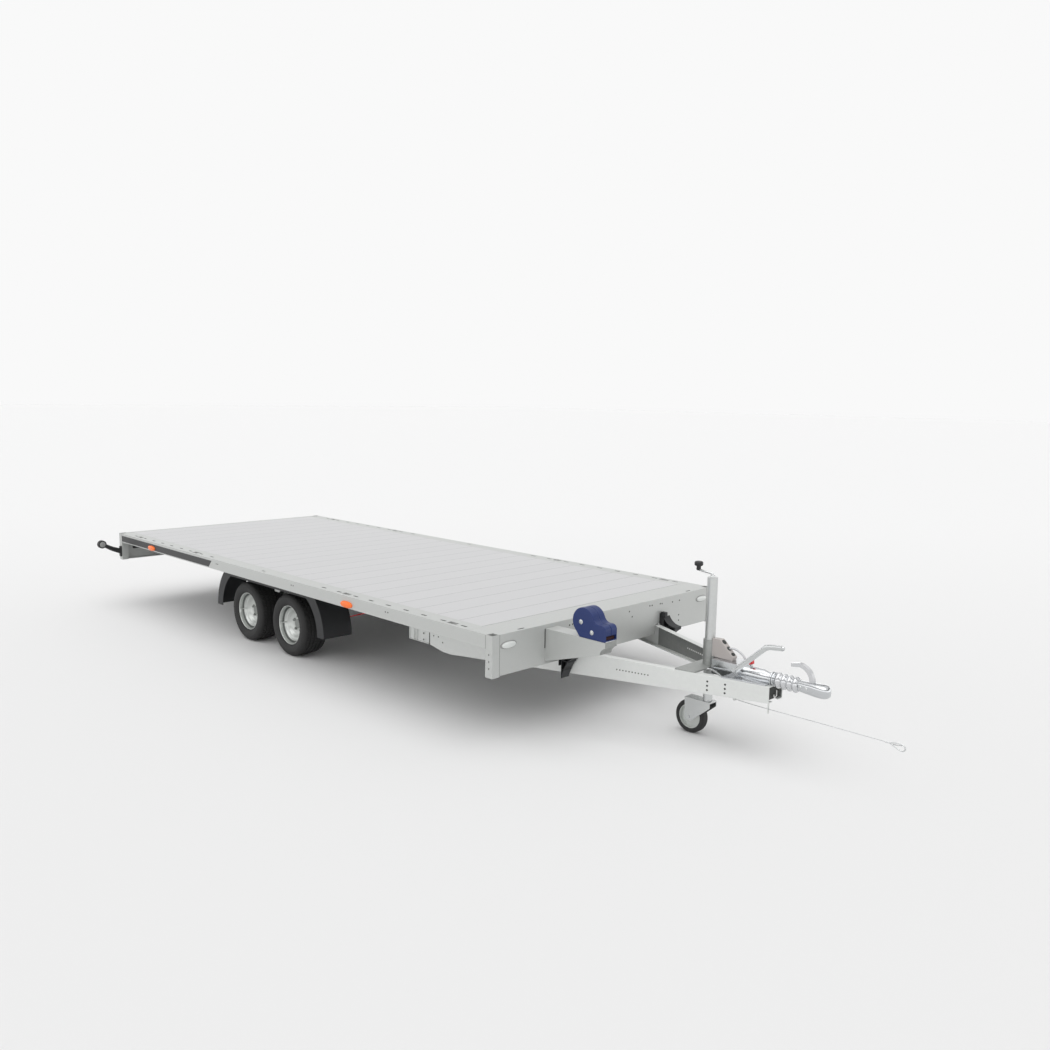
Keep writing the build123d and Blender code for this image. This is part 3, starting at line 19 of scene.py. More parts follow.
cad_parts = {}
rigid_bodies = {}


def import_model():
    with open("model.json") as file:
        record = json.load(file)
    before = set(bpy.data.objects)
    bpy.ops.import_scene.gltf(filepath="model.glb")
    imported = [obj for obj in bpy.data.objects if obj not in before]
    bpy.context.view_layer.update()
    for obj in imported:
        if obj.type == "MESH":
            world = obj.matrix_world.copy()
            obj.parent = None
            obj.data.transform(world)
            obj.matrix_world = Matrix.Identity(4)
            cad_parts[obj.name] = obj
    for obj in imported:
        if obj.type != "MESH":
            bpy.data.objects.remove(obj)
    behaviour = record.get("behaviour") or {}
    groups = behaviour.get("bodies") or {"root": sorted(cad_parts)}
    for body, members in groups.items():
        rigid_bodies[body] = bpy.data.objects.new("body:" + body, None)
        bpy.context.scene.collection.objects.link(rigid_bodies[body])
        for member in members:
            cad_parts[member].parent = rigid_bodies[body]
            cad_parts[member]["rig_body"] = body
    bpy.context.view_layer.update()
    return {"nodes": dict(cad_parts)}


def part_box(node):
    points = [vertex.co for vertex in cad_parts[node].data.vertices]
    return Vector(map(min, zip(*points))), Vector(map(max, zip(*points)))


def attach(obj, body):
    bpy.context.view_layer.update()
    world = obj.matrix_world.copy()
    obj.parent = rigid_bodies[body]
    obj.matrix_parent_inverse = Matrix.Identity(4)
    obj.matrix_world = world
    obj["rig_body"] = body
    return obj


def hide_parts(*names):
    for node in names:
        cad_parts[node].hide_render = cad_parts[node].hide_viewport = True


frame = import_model()

LOG = logging.getLogger("trailer")
MM = 0.001                      # metres in a millimetre
TINY = 1e-4                     # millimetres, below which two corners are one
ROUND, FIRM, CRISP = 60.0, 50.0, 30.0       # degrees: edges that turn by more than this stay sharp
SIDES = {"right": -1.0, "left": 1.0}        # each side's way across the trailer
WAYS = tuple(SIDES.values())
AXLES = ("front", "rear")
ALONG, ACROSS, UP = Vector((1, 0, 0)), Vector((0, 1, 0)), Vector((0, 0, 1))

Tree = bpy.types.NodeTree
Socket = bpy.types.NodeSocket
Corner = bmesh.types.BMVert
Pair = tuple[float, float]
Pairs = tuple[Pair, ...]
Place = tuple[float, float, float]
Places = tuple[Place, ...]
Outline = Sequence[Pair]


# ---------------------------------------------------------------- colours and nodes
def linear(colour: str) -> tuple[float, float, float, float]:
    """Turns an sRGB hex colour into the linear one that a shader takes.

    Args:
        colour: the colour as "#RRGGBB".

    Returns:
        The linear red, green and blue, and an alpha of 1.
    """
    channels = [int(colour[place:place + 2], 16) / 255 for place in (1, 3, 5)]
    red, green, blue = [
        value / 12.92 if value <= 0.04045 else ((value + 0.055) / 1.055) ** 2.4 for value in channels
    ]
    return red, green, blue, 1.0


def add_node(tree: Tree, kind: str, inputs: dict | None = None, **settings: object) -> bpy.types.Node:
    """Adds one node with its settings and links.

    Args:
        tree: the material's or world's node tree.
        kind: the node's type name.
        inputs: for each input's name or number, a value, or an output socket to link.
        settings: properties of the node itself.

    Returns:
        The new node.
    """
    node = tree.nodes.new(kind)
    for name, value in settings.items():
        setattr(node, name, value)
    for key, value in (inputs or {}).items():
        if isinstance(value, bpy.types.NodeSocket):
            tree.links.new(value, node.inputs[key])
        else:
            node.inputs[key].default_value = value
    return node


class Bands(Enum):
    """The direction in which even bands follow one another."""

    X = "X"
    Y = "Y"
    Z = "Z"
    DIAGONAL = "DIAGONAL"


def waves(tree: Tree, place: Socket, period: float, direction: Bands) -> Socket:
    """Adds even bands.

    Args:
        tree: the material's node tree.
        place: the point on the surface, in metres.
        period: millimetres from one band to the next.
        direction: the direction in which they follow one another.

    Returns:
        The bands' 0 to 1 value.
    """
    scale = math.pi / 10 / (period * MM)        # the node's bands lie pi/10 over its scale apart
    bands = add_node(tree, "ShaderNodeTexWave", {"Vector": place, "Scale": scale},
                     bands_direction=direction.value)
    return bands.outputs["Fac"]


# ---------------------------------------------------------------- finishes
@dataclass(frozen=True)
class Finish:
    """A real surface: its shader values and the even, fine-grained pattern its making leaves.

    The pattern runs from 0 to 1. It mixes the shade into the colour, moves the roughness and
    raises the surface.
    """

    name: str
    colour: str
    shade: str
    roughness: Pair
    grain: float = 2.0              # millimetres between the pattern's features
    relief: float = 0.05            # millimetres from the pattern's lowest to its highest
    metallic: float = 0.0
    ior: float = 1.5
    coat: float = 0.0
    clear: float = 0.0

    def pattern(self, tree: Tree, place: Socket) -> Socket:
        """Fine grain, as moulding or casting leaves it.

        Args:
            tree: the material's node tree.
            place: the point on the surface, in metres.

        Returns:
            The pattern's 0 to 1 value.
        """
        noise = add_node(tree, "ShaderNodeTexNoise",
                         {"Vector": place, "Scale": 1 / (self.grain * MM), "Detail": 3.0, "Roughness": 0.6})
        return noise.outputs["Fac"]

    def material(self) -> bpy.types.Material:
        """Builds the finish's material, or hands out the one already built.

        Returns:
            The material.
        """
        built = bpy.data.materials.get(self.name)
        if built:
            return built
        built = bpy.data.materials.new(self.name)
        built.use_nodes = True
        tree = built.node_tree
        shader = tree.nodes["Principled BSDF"]
        shader.inputs["Metallic"].default_value = self.metallic
        if not self.metallic:
            shader.inputs["IOR"].default_value = self.ior
        shader.inputs["Coat Weight"].default_value = self.coat
        shader.inputs["Transmission Weight"].default_value = self.clear
        place = add_node(tree, "ShaderNodeTexCoord").outputs["Object"]
        value = self.pattern(tree, place)
        tint = add_node(tree, "ShaderNodeMix", {0: value, 6: linear(self.shade), 7: linear(self.colour)},
                        data_type="RGBA")
        dull = add_node(tree, "ShaderNodeMapRange",
                        {"Value": value, "To Min": self.roughness[1], "To Max": self.roughness[0]})
        bump = add_node(tree, "ShaderNodeBump",
                        {"Height": value, "Strength": 1.0, "Distance": self.relief * MM})
        tree.links.new(tint.outputs[2], shader.inputs["Base Color"])
        tree.links.new(dull.outputs["Result"], shader.inputs["Roughness"])
        tree.links.new(bump.outputs["Normal"], shader.inputs["Normal"])
        return built


@dataclass(frozen=True)
class Galvanised(Finish):
    """Zinc from a hot dip: soft crystal patches with a slow clouding over them."""

    spangle: float = 14.0           # millimetres across a crystal patch
    clouding: float = 0.6           # the clouds' share against the patches
    cloud_width: float = 10.0       # patches across a cloud

    def pattern(self, tree: Tree, place: Socket) -> Socket:
        """Crystal patches, each of its own tone, blended with wide clouds.

        Args:
            tree: the material's node tree.
            place: the point on the surface, in metres.

        Returns:
            The pattern's 0 to 1 value.
        """
        scale = 1 / (self.spangle * MM)
        crystals = add_node(tree, "ShaderNodeTexVoronoi", {"Vector": place, "Scale": scale})
        tone = add_node(tree, "ShaderNodeSeparateColor", {"Color": crystals.outputs["Color"]})
        clouds = add_node(tree, "ShaderNodeTexNoise",
                          {"Vector": place, "Scale": scale / self.cloud_width, "Detail": 4.0})
        return add_node(tree, "ShaderNodeMix",
                        {0: self.clouding, 2: tone.outputs["Red"], 3: clouds.outputs["Fac"]}).outputs[0]


@dataclass(frozen=True)
class Extruded(Finish):
    """Aluminium pressed through a die: fine ridges, and a dark joint after every plank."""

    pitch: float = 200.0            # millimetres from plank to plank
    joint: float = 4.0              # millimetres across a joint
    first: float = 0.0              # metres along the trailer to the first plank's edge
    ridge_share: float = 0.5        # the ridges' share against the planks' own tones
    lowest: float = 0.93            # value of the darkest ridge, where a joint is 0

    def pattern(self, tree: Tree, place: Socket) -> Socket:
        """Near 1 on a plank, with ridges one grain apart and a tone of its own, and 0 in the joints.

        Args:
            tree: the material's node tree.
            place: the point on the surface, in metres.

        Returns:
            The pattern's 0 to 1 value.
        """
        axis = add_node(tree, "ShaderNodeSeparateXYZ", {"Vector": place})
        start = add_node(tree, "ShaderNodeMath", {0: axis.outputs["X"], 1: self.first - self.joint * MM / 2},
                         operation="SUBTRACT")
        plank = add_node(tree, "ShaderNodeMath", {0: start.outputs[0], 1: self.pitch * MM},
                         operation="DIVIDE")
        number = add_node(tree, "ShaderNodeMath", {0: plank.outputs[0]}, operation="FLOOR")
        within = add_node(tree, "ShaderNodeMath", {0: plank.outputs[0]}, operation="FRACT")
        land = add_node(tree, "ShaderNodeMath", {0: within.outputs[0], 1: self.joint / self.pitch},
                        operation="GREATER_THAN")
        tone = add_node(tree, "ShaderNodeTexWhiteNoise", {"W": number.outputs[0]}, noise_dimensions="1D")
        ridges = waves(tree, place, self.grain, Bands.X)
        mixed = add_node(tree, "ShaderNodeMix", {0: self.ridge_share, 2: tone.outputs["Value"], 3: ridges})
        level = add_node(tree, "ShaderNodeMapRange",
                         {"Value": mixed.outputs[0], "To Min": self.lowest, "To Max": 1.0})
        return add_node(tree, "ShaderNodeMath", {0: level.outputs["Result"], 1: land.outputs[0]},
                        operation="MULTIPLY").outputs[0]


@dataclass(frozen=True)
class Ribbed(Finish):
    """A lens, coil or rope with even ribs: bands across one axis."""

    direction: Bands = Bands.X

    def pattern(self, tree: Tree, place: Socket) -> Socket:
        """Bands one grain apart."""
        return waves(tree, place, self.grain, self.direction)


@dataclass(frozen=True)
class Woven(Finish):
    """Webbing: two sets of threads that pass over and under each other."""

    def pattern(self, tree: Tree, place: Socket) -> Socket:
        """The product of bands along and across the strap."""
        along, across = [waves(tree, place, self.grain, direction) for direction in (Bands.Z, Bands.Y)]
        return add_node(tree, "ShaderNodeMath", {0: along, 1: across}, operation="MULTIPLY").outputs[0]


@dataclass(frozen=True)
class Machined(Finish):
    """Metal turned, ground or drawn: grain stretched along the trailer."""

    stretch: float = 12.0           # a grain's length over its width

    def pattern(self, tree: Tree, place: Socket) -> Socket:
        """Noise drawn out along X.

        Args:
            tree: the material's node tree.
            place: the point on the surface, in metres.

        Returns:
            The pattern's 0 to 1 value.
        """
        drawn = add_node(tree, "ShaderNodeMapping", {"Vector": place, "Scale": (1 / self.stretch, 1, 1)})
        noise = add_node(tree, "ShaderNodeTexNoise",
                         {"Vector": drawn.outputs[0], "Scale": 1 / (self.grain * MM), "Detail": 2.0})
        return noise.outputs["Fac"]


@dataclass(frozen=True)
class Sweep(Finish):
    """A studio floor painted lighter and lighter towards the back, as painted light."""

    near: float = -7.0              # metres from the trailer's middle, away from the front right
    far: float = 12.0

    def pattern(self, tree: Tree, place: Socket) -> Socket:
        """A smooth rise from the near edge to the far one.

        Args:
            tree: the material's node tree.
            place: the point on the surface, in metres.

        Returns:
            The pattern's 0 to 1 value.
        """
        axis = add_node(tree, "ShaderNodeSeparateXYZ", {"Vector": place})
        away = add_node(tree, "ShaderNodeMath", {0: axis.outputs["Y"], 1: axis.outputs["X"]},
                        operation="SUBTRACT")
        rise = add_node(tree, "ShaderNodeMapRange",
                        {"Value": away.outputs[0], "From Min": self.near, "From Max": self.far},
                        interpolation_type="SMOOTHSTEP")
        return rise.outputs["Result"]


# Hot-dip galvanised sheet, folded: a quiet satin grey with faint crystal patches.
SHEET = Galvanised("GalvanisedSheet_folded", "#C0C2C0", "#BDBFBD", (0.40, 0.44), relief=0.002, metallic=0.4)
# The same zinc on the heavier frame under the deck: a little duller.
FRAME_ZINC = Galvanised("GalvanisedSteel_frame", "#DDDFDD", "#D8DAD8", (0.48, 0.53), relief=0.003,
                        metallic=0.35, spangle=20.0)
# Painted shade: dull zinc darkened to stand for the shade inside punched holes, slots, openings and gaps;
# rivets, screws and bolts drawn in it are dark with painted shade too.
PAINTED_SHADE = Finish("GalvanisedSteel_painted_shade", "#3C3E3C", "#303230", (0.6, 0.8), relief=0.02)
# Narrow joints between folded sheets, where the zinc is in half shade.
JOINT = Finish("GalvanisedSheet_joint", "#7F817F", "#757775", (0.6, 0.8), relief=0.02)
# Painted shade: zinc on the beams' inner faces, darkened to stand for the shade between the beams: dull and
# grey.
WEB_SHADE = Galvanised("GalvanisedSteel_web_painted_shade", "#858785", "#7B7D7B", (0.5, 0.6), relief=0.003, metallic=0.3)
# Sheet pressed into shallow pans: pale and dull zinc.
PAN_ZINC = Galvanised("GalvanisedPan_pressed", "#C6C7C6", "#BCBDBC", (0.5, 0.6), relief=0.01, metallic=0.5)
# Mill-finish aluminium planks, extruded: bright and matt with dark joints. The ridges are drawn 8 mm apart,
# coarser than real.
DECK = Extruded("MillAluminium_extruded", "#CDCDCE", "#9B9D9F", (0.50, 0.60), grain=8.0, relief=0.3,
                metallic=0.4, first=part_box("deck_planks")[0].x)
# Moulded black polypropylene: grained, with a low sheen.
POLYPROPYLENE = Finish("Polypropylene_moulded", "#26272A", "#1B1C1D", (0.42, 0.58), grain=2.5, relief=0.08)
# Vulcanised tyre rubber: near black and slightly dusty.
TYRE_RUBBER = Finish("TyreRubber_vulcanised", "#2C2C2C", "#202020", (0.62, 0.78), grain=3.0, relief=0.06)
# Wheel steel under silver lacquer, sprayed: an even light grey with soft gloss.
SILVER = Finish("WheelSteel_lacquered", "#CDD0CD", "#C4C7C4", (0.30, 0.36), grain=6.0, relief=0.01,
                metallic=0.6, coat=0.3)
# Painted shade: the same steel darkened to stand for the shade deep in the rim's bead groove.
GROOVE = Finish("WheelSteel_groove_painted_shade", "#7A7D7B", "#707371", (0.4, 0.5), grain=6.0, relief=0.01, metallic=0.4)
# Folded steel under warm grey primer, sprayed: pale, matt and slightly pink.
STAY_PAINT = Finish("FoldedSteel_primed", "#B6B0AD", "#AFA9A6", (0.4, 0.5), grain=5.0, relief=0.005)
# Cast iron hub, painted: darker and rougher than the rim.
HUB = Finish("CastIron_painted", "#9DA09D", "#858885", (0.5, 0.66), grain=3.0, relief=0.15, metallic=0.4)
# Rolled axle steel, hot-dip galvanised: mid grey.
AXLE_STEEL = Galvanised("AxleSteel_galvanised", "#AEB0AE", "#A2A4A2", (0.5, 0.6), relief=0.02, metallic=1.0)
# Navy ABS, injection moulded: satin, with a fine spark-eroded grain.
NAVY_ABS = Finish("NavyABS_moulded", "#1E3168", "#1C2E62", (0.36, 0.44), grain=1.5, relief=0.01, ior=1.46)
# Polyester webbing, woven: dark red-brown with a dry, matt weave. Threads are drawn 3 mm apart to show.
WEBBING = Woven("PolyesterWebbing_woven", "#4C2826", "#341B1B", (0.75, 0.9), grain=3.0, relief=0.3)
# Amber acrylic lens, moulded: saturated orange under a glossy skin.
AMBER = Ribbed("AmberAcrylic_moulded", "#FF7A28", "#FB7020", (0.18, 0.24), grain=4.0, relief=0.05, ior=1.49,
               coat=0.1)
# Clear acrylic lens over a grey reflector: pale, smooth and glossy.
CLEAR = Finish("ClearAcrylic_moulded", "#DADDDB", "#D4D7D5", (0.12, 0.16), grain=5.0, relief=0.005,
               ior=1.49, coat=0.4)
# Smoked clear acrylic on the rear arms' lamps: mid grey and glossy.
SMOKED = Finish("SmokedAcrylic_moulded", "#9A9B99", "#929391", (0.12, 0.18), grain=5.0, relief=0.005,
                ior=1.49, coat=0.4)
# Red acrylic lens, moulded: deep red and glossy.
RED = Ribbed("RedAcrylic_moulded", "#B5181C", "#A61014", (0.14, 0.2), grain=4.0, relief=0.05, ior=1.49,
             coat=0.3, direction=Bands.Y)
# Bright zinc on a smooth casting, polished: mirror-like with a soft blur.
POLISHED = Machined("ZincCasting_polished", "#D0D2D4", "#C4C6C8", (0.14, 0.22), grain=6.0, relief=0.004,
                    metallic=1.0)
# Pale thermoplastic rubber, moulded: light grey and very glossy.
PALE_RUBBER = Finish("PaleElastomer_moulded", "#CDCED0", "#C5C6C8", (0.10, 0.16), grain=5.0, relief=0.005,
                     coat=0.5)
# Bellows elastomer, moulded with a metallic sheen: bright and smooth.
SHEEN_RUBBER = Finish("MetallisedElastomer_moulded", "#D2D3D5", "#CACBCD", (0.12, 0.18), grain=5.0,
                      relief=0.003, metallic=0.7)
# Black EPDM rubber, moulded: soft and matt.
BLACK_RUBBER = Finish("BlackEPDM_moulded", "#1E1E20", "#151516", (0.5, 0.64), grain=2.0, relief=0.06)
# Bright zinc-plated steel bar and tube, drawn: clean and satin.
BRIGHT_STEEL = Machined("ZincPlatedSteel_drawn", "#D2D4D4", "#C8CACA", (0.2, 0.28), grain=2.0, relief=0.004,
                        metallic=1.0)
# Hot-dip galvanised tube: pale grey with soft streaks along it.
TUBE_ZINC = Galvanised("GalvanisedTube_welded", "#CED0CF", "#C6C8C7", (0.32, 0.40), relief=0.008,
                       metallic=1.0)
# Red nylon, moulded: a plain signal red.
RED_NYLON = Finish("RedNylon_moulded", "#DD2A2E", "#CE2328", (0.3, 0.4), grain=2.0, relief=0.01)
# Galvanised wire rope, laid: six strands seen as fine slanting bands, drawn 3 mm apart.
WIRE = Ribbed("SteelWire_laid", "#D8DADA", "#A8ACAC", (0.3, 0.45), grain=3.0, relief=0.1, metallic=0.6,
              direction=Bands.DIAGONAL)
# Blank plate of anodised aluminium, stamped: white and even.
PLATE = Finish("PlateAluminium_coated", "#E9E9E7", "#E3E3E1", (0.35, 0.45), grain=4.0, relief=0.005)
# Dark grey vinyl film, cast: flat and even on the rail.
FILM = Finish("GreyVinyl_cast", "#303031", "#2B2B2C", (0.4, 0.5), grain=3.0, relief=0.005)
# Black nylon, moulded: knobs and cable sheaths.
BLACK_NYLON = Finish("BlackNylon_moulded", "#242527", "#1A1B1C", (0.32, 0.44), grain=2.0, relief=0.01)
# Studio floor, painted: matt and pale, with painted light that brightens it into the distance.
FLOOR = Sweep("StudioFloor_painted", "#EEEEEE", "#E7E7E7", (0.9, 0.95), relief=0.0)


# ---------------------------------------------------------------- places
def span(node: str) -> tuple[Vector, Vector]:
    """Lowest and highest corners of a CAD node, in millimetres."""
    low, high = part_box(node)
    return low / MM, high / MM


def arc(centre: Pair, radius: float, start: float, end: float, steps: int) -> Outline:
    """Points on a circle between two angles, in degrees from the first axis towards the second."""
    turns = [math.radians(start + (end - start) * step / steps) for step in range(steps + 1)]
    return [(centre[0] + radius * math.cos(turn), centre[1] + radius * math.sin(turn)) for turn in turns]


def bowed(start: Pair, middle: Pair, end: Pair, steps: int) -> Outline:
    """Points on the bow that passes through three given ones.

    Args:
        start: where the bow begins.
        middle: the point halfway along it.
        end: where it ends.
        steps: number of runs between the points.

    Returns:
        steps + 1 points.
    """
    pull = [2 * middle[axis] - (start[axis] + end[axis]) / 2 for axis in range(2)]
    points = []
    for step in range(steps + 1):
        share = step / steps
        rest = 1 - share
        points.append(tuple(rest * rest * start[axis] + 2 * rest * share * pull[axis]
                            + share * share * end[axis] for axis in range(2)))
    return points


def smooth_line(corners: Sequence[Vector], steps: int = 8, looped: bool = False) -> list[Vector]:
    """Points on a smooth line through given ones.

    Args:
        corners: the points that the line passes through.
        steps: runs between one given point and the next.
        looped: whether the line closes on itself.

    Returns:
        The points in order, with the last of an open line included.
    """
    count = len(corners)

    def corner(number: int) -> Vector:
        """The given point, wrapped round a loop or held at the ends."""
        return corners[number % count] if looped else corners[max(0, min(count - 1, number))]

    points = []
    for number in range(count if looped else count - 1):
        before, here, after, later = [corner(number + shift) for shift in (-1, 0, 1, 2)]
        for step in range(steps):
            share = step / steps
            points.append(0.5 * (2 * here + (after - before) * share
                                 + (2 * before - 5 * here + 4 * after - later) * share ** 2
                                 + (3 * here - before - 3 * after + later) * share ** 3))
    return points if looped else points + [corners[-1]]


def rounded_box(half_width: float, half_height: float, steps: int = 48, power: float = 4.0) -> Outline:
    """Points on a rectangle with soft corners, about its centre.

    Args:
        half_width: half its first size.
        half_height: half its second size.
        steps: number of points.
        power: 2 for an ellipse, more for squarer corners.

    Returns:
        The points in order.
    """
    points = []
    for step in range(steps):
        turn = 2 * math.pi * step / steps
        cosine, sine = math.cos(turn), math.sin(turn)
        points.append((half_width * math.copysign(abs(cosine) ** (2 / power), cosine),
                       half_height * math.copysign(abs(sine) ** (2 / power), sine)))
    return points


def shrunk(outline: Outline, centre: Pair, shares: Pair) -> Outline:
    """An outline drawn in towards a centre, to the given shares of its size along each direction."""
    return [(centre[0] + (first - centre[0]) * shares[0], centre[1] + (second - centre[1]) * shares[1])
            for first, second in outline]


def side_view(points: Iterable[Pair], y: float) -> list[Vector]:
    """Points (x, z) of a side view, set at one distance across the trailer."""
    return [Vector((x, y, z)) for x, z in points]


# ---------------------------------------------------------------- meshes
def settle(piece: bpy.types.Object) -> None:
    """Applies a piece's modifiers to its mesh.

    Args:
        piece: the object, which keeps no modifier.
    """
    evaluated = piece.evaluated_get(bpy.context.evaluated_depsgraph_get())
    settled = bpy.data.meshes.new_from_object(evaluated)
    piece.modifiers.clear()
    piece.data = settled


class Shape:
    """Faces gathered in millimetres, in the trailer's frame, and handed over as one piece."""

    JOIN = 0.01                     # millimetres, below which a CAD mesh's corners are one
    LEVEL = 0.5                     # degrees, below which two CAD faces are one
    CHAMFER = 0.86                  # share of a nut's height and radius that its chamfer leaves
    WASHER = 0.18                   # share of a nut's height that its washer takes
    HEAD = ((1.0, 0.0), (0.92, 0.55), (0.6, 0.9), (0.0, 1.0))      # rivet: shares of radius and height
    CROWN = ((1.0, 0.0), (1.0, 0.32), (0.985, 0.44), (0.93, 0.62), (0.82, 0.78), (0.62, 0.91), (0.34, 0.98),
             (0.08, 1.0))           # lens: shares of outline and depth

    def __init__(self) -> None:
        """Starts with no faces."""
        self.mesh = bmesh.new()

    @classmethod
    def of_node(cls, node: str) -> "Shape":
        """Copies a CAD node's mesh, with its flat faces made whole again.

        Args:
            node: the CAD node's name.

        Returns:
            The shape, ready for softening.
        """
        shape = cls()
        mesh = shape.mesh
        mesh.from_mesh(frame["nodes"][node].data)
        bmesh.ops.scale(mesh, vec=Vector((1 / MM,) * 3), verts=mesh.verts)
        bmesh.ops.remove_doubles(mesh, verts=mesh.verts, dist=cls.JOIN)
        level = math.radians(cls.LEVEL)
        bmesh.ops.dissolve_limit(mesh, angle_limit=level, verts=mesh.verts, edges=mesh.edges)
        return shape

    def ring(self, corners: Iterable[Vector]) -> list[Corner]:
        """Adds a run of corners."""
        return [self.mesh.verts.new(corner) for corner in corners]

    def circle(self, centre: Vector, first: Vector, second: Vector, radius: float, sides: int,
               flat: float = 1.0) -> list[Corner]:
        """Adds a round or flattened run of corners.

        Args:
            centre: its middle.
            first: direction to its first corner.
            second: direction at right angles to that.
            radius: half its size along the first direction.
            sides: number of corners.
            flat: its size along the second direction over that along the first.

        Returns:
            The corners in order.
        """
        turns = [2 * math.pi * side / sides for side in range(sides)]
        return self.ring(centre + radius * (math.cos(turn) * first + flat * math.sin(turn) * second)
                         for turn in turns)

    def face(self, corners: Sequence[Corner]) -> None:
        """Adds a face.

        Args:
            corners: its corners in order, of which repeated ones count once.
        """
        distinct = list(dict.fromkeys(corners))
        if len(distinct) > 2:
            self.mesh.faces.new(distinct)

    def bridge(self, lower: Sequence[Corner], upper: Sequence[Corner]) -> None:
        """Joins two closed runs of corners.

        Args:
            lower: the first run, or a single corner.
            upper: the other run, or a single corner.
        """
        count = max(len(lower), len(upper))
        for index in range(count):
            after = (index + 1) % count
            self.face([lower[index % len(lower)], lower[after % len(lower)],
                       upper[after % len(upper)], upper[index % len(upper)]])

    def bridges(self, rings: Sequence[Sequence[Corner]], looped: bool = False) -> None:
        """Joins each closed run of corners with the next.

        Args:
            rings: the runs in order.
            looped: whether the last one joins the first.
        """
        for lower, upper in zip(rings, rings[1:]):
            self.bridge(lower, upper)
        if looped:
            self.bridge(rings[-1], rings[0])

    def prism(self, outline: Sequence[Vector], along: Vector) -> None:
        """Adds a closed prism.

        Args:
            outline: corners of its first end, in order.
            along: from the first end to the other.
        """
        start = self.ring(outline)
        end = self.ring(corner + along for corner in outline)
        self.face(start)
        self.face(end)
        self.bridge(start, end)

    def block(self, low: Sequence[float], high: Sequence[float]) -> None:
        """Adds an upright box.

        Args:
            low: its lowest corner.
            high: its highest corner.
        """
        floor = [Vector((x, y, low[2])) for x, y in
                 ((low[0], low[1]), (high[0], low[1]), (high[0], high[1]), (low[0], high[1]))]
        self.prism(floor, Vector((0, 0, high[2] - low[2])))

    def block_on(self, way: float, low: Sequence[float], high: Sequence[float]) -> None:
        """Adds an upright box to one side, with its corners given as they are on the left side."""
        near, far = sorted((way * low[1], way * high[1]))
        self.block((low[0], near, low[2]), (high[0], far, high[2]))

    def lofted(self, sections: Sequence[Sequence[Vector]]) -> None:
        """Adds a closed body.

        Args:
            sections: its cross-sections in order, with equal counts of corners.
        """
        rings = [self.ring(section) for section in sections]
        self.bridges(rings)
        self.face(rings[0])
        self.face(rings[-1])

    def turned(self, profile: Outline, origin: Vector, axis: Vector, sides: int = 48,
               looped: bool = False) -> None:
        """Adds a body of revolution.

        Args:
            profile: points (radius, distance along the axis).
            origin: where the distance along the axis is 0.
            axis: the axis's direction.
            sides: number of flats round it.
            looped: whether the profile closes on itself, as a ring's does.
        """
        axis = axis.normalized()
        first = axis.orthogonal().normalized()
        second = axis.cross(first)
        rings = []
        for radius, distance in profile:
            centre = origin + axis * distance
            rings.append(self.ring([centre]) if radius < TINY
                         else self.circle(centre, first, second, radius, sides))
        self.bridges(rings, looped)

    def swept(self, path: Sequence[Vector], radius: float | Callable[[float], float], sides: int = 12,
              looped: bool = False, broad: Vector | None = None, flat: float = 1.0) -> None:
        """Adds a round or flattened bar that follows a path.

        Args:
            path: points along its middle.
            radius: its radius, or a function of the share of the path from 0 to 1.
            sides: number of flats round it.
            looped: whether the path closes on itself.
            broad: the direction of a flattened bar's broad side.
            flat: thickness over breadth of a flattened bar.
        """
        rings = []
        count = len(path)
        normal = broad
        for number, centre in enumerate(path):
            before = path[number - 1] if looped or number else centre
            after = path[(number + 1) % count] if looped or number < count - 1 else centre
            tangent = (after - before).normalized()
            normal = tangent.orthogonal() if normal is None else normal
            normal = (normal - tangent * normal.dot(tangent)).normalized()
            other = tangent.cross(normal)
            size = radius(number / (count - 1)) if callable(radius) else radius
            rings.append(self.circle(centre, normal, other, size, sides, flat))
        self.bridges(rings, looped)
        if not looped:
            self.face(rings[0])
            self.face(rings[-1])

    def nut(self, foot: Vector, axis: Vector, across_flats: float, height: float,
            washer: float = 0.0) -> None:
        """Adds a hexagonal nut or bolt head with a chamfered top, and a washer under it if that has a size.

        Args:
            foot: the middle of the face that it sits on.
            axis: the direction it stands in.
            across_flats: its width over two flats.
            height: how far it stands out.
            washer: the washer's radius.
        """
        radius = across_flats / math.sqrt(3)
        base = height * self.WASHER if washer else 0.0
        if washer:
            self.turned([(0, 0), (washer, 0), (washer, base * 0.8), (washer * 0.94, base), (0, base)],
                        foot, axis, 24)
        self.turned([(0, base), (radius, base), (radius, height * self.CHAMFER),
                     (radius * self.CHAMFER, height), (0, height)], foot, axis, 6)

    def rivet(self, foot: Vector, axis: Vector, radius: float, height: float) -> None:
        """Adds a low domed head, from the middle of the face that it sits on."""
        crown = [(radius * share, height * lift) for share, lift in self.HEAD]
        self.turned([(0, 0), *crown], foot, axis, 14)

    def dome(self, foot: Vector, across: Vector, upward: Vector, out: Vector, half: Pair,
             depth: float) -> None:
        """Adds an oval lens: a short straight rim, then a rounded crown.

        Args:
            foot: the middle of its base.
            across: direction of its long side.
            upward: direction of its short side.
            out: direction it stands out in.
            half: half its long and short sizes.
            depth: how far it stands out.
        """
        rings = []
        for share, lift in self.CROWN:
            outline = rounded_box(half[0] * share, half[1] * share, 40, 2.2)
            rings.append([foot + across * a + upward * b + out * (depth * lift) for a, b in outline])
        self.lofted(rings)

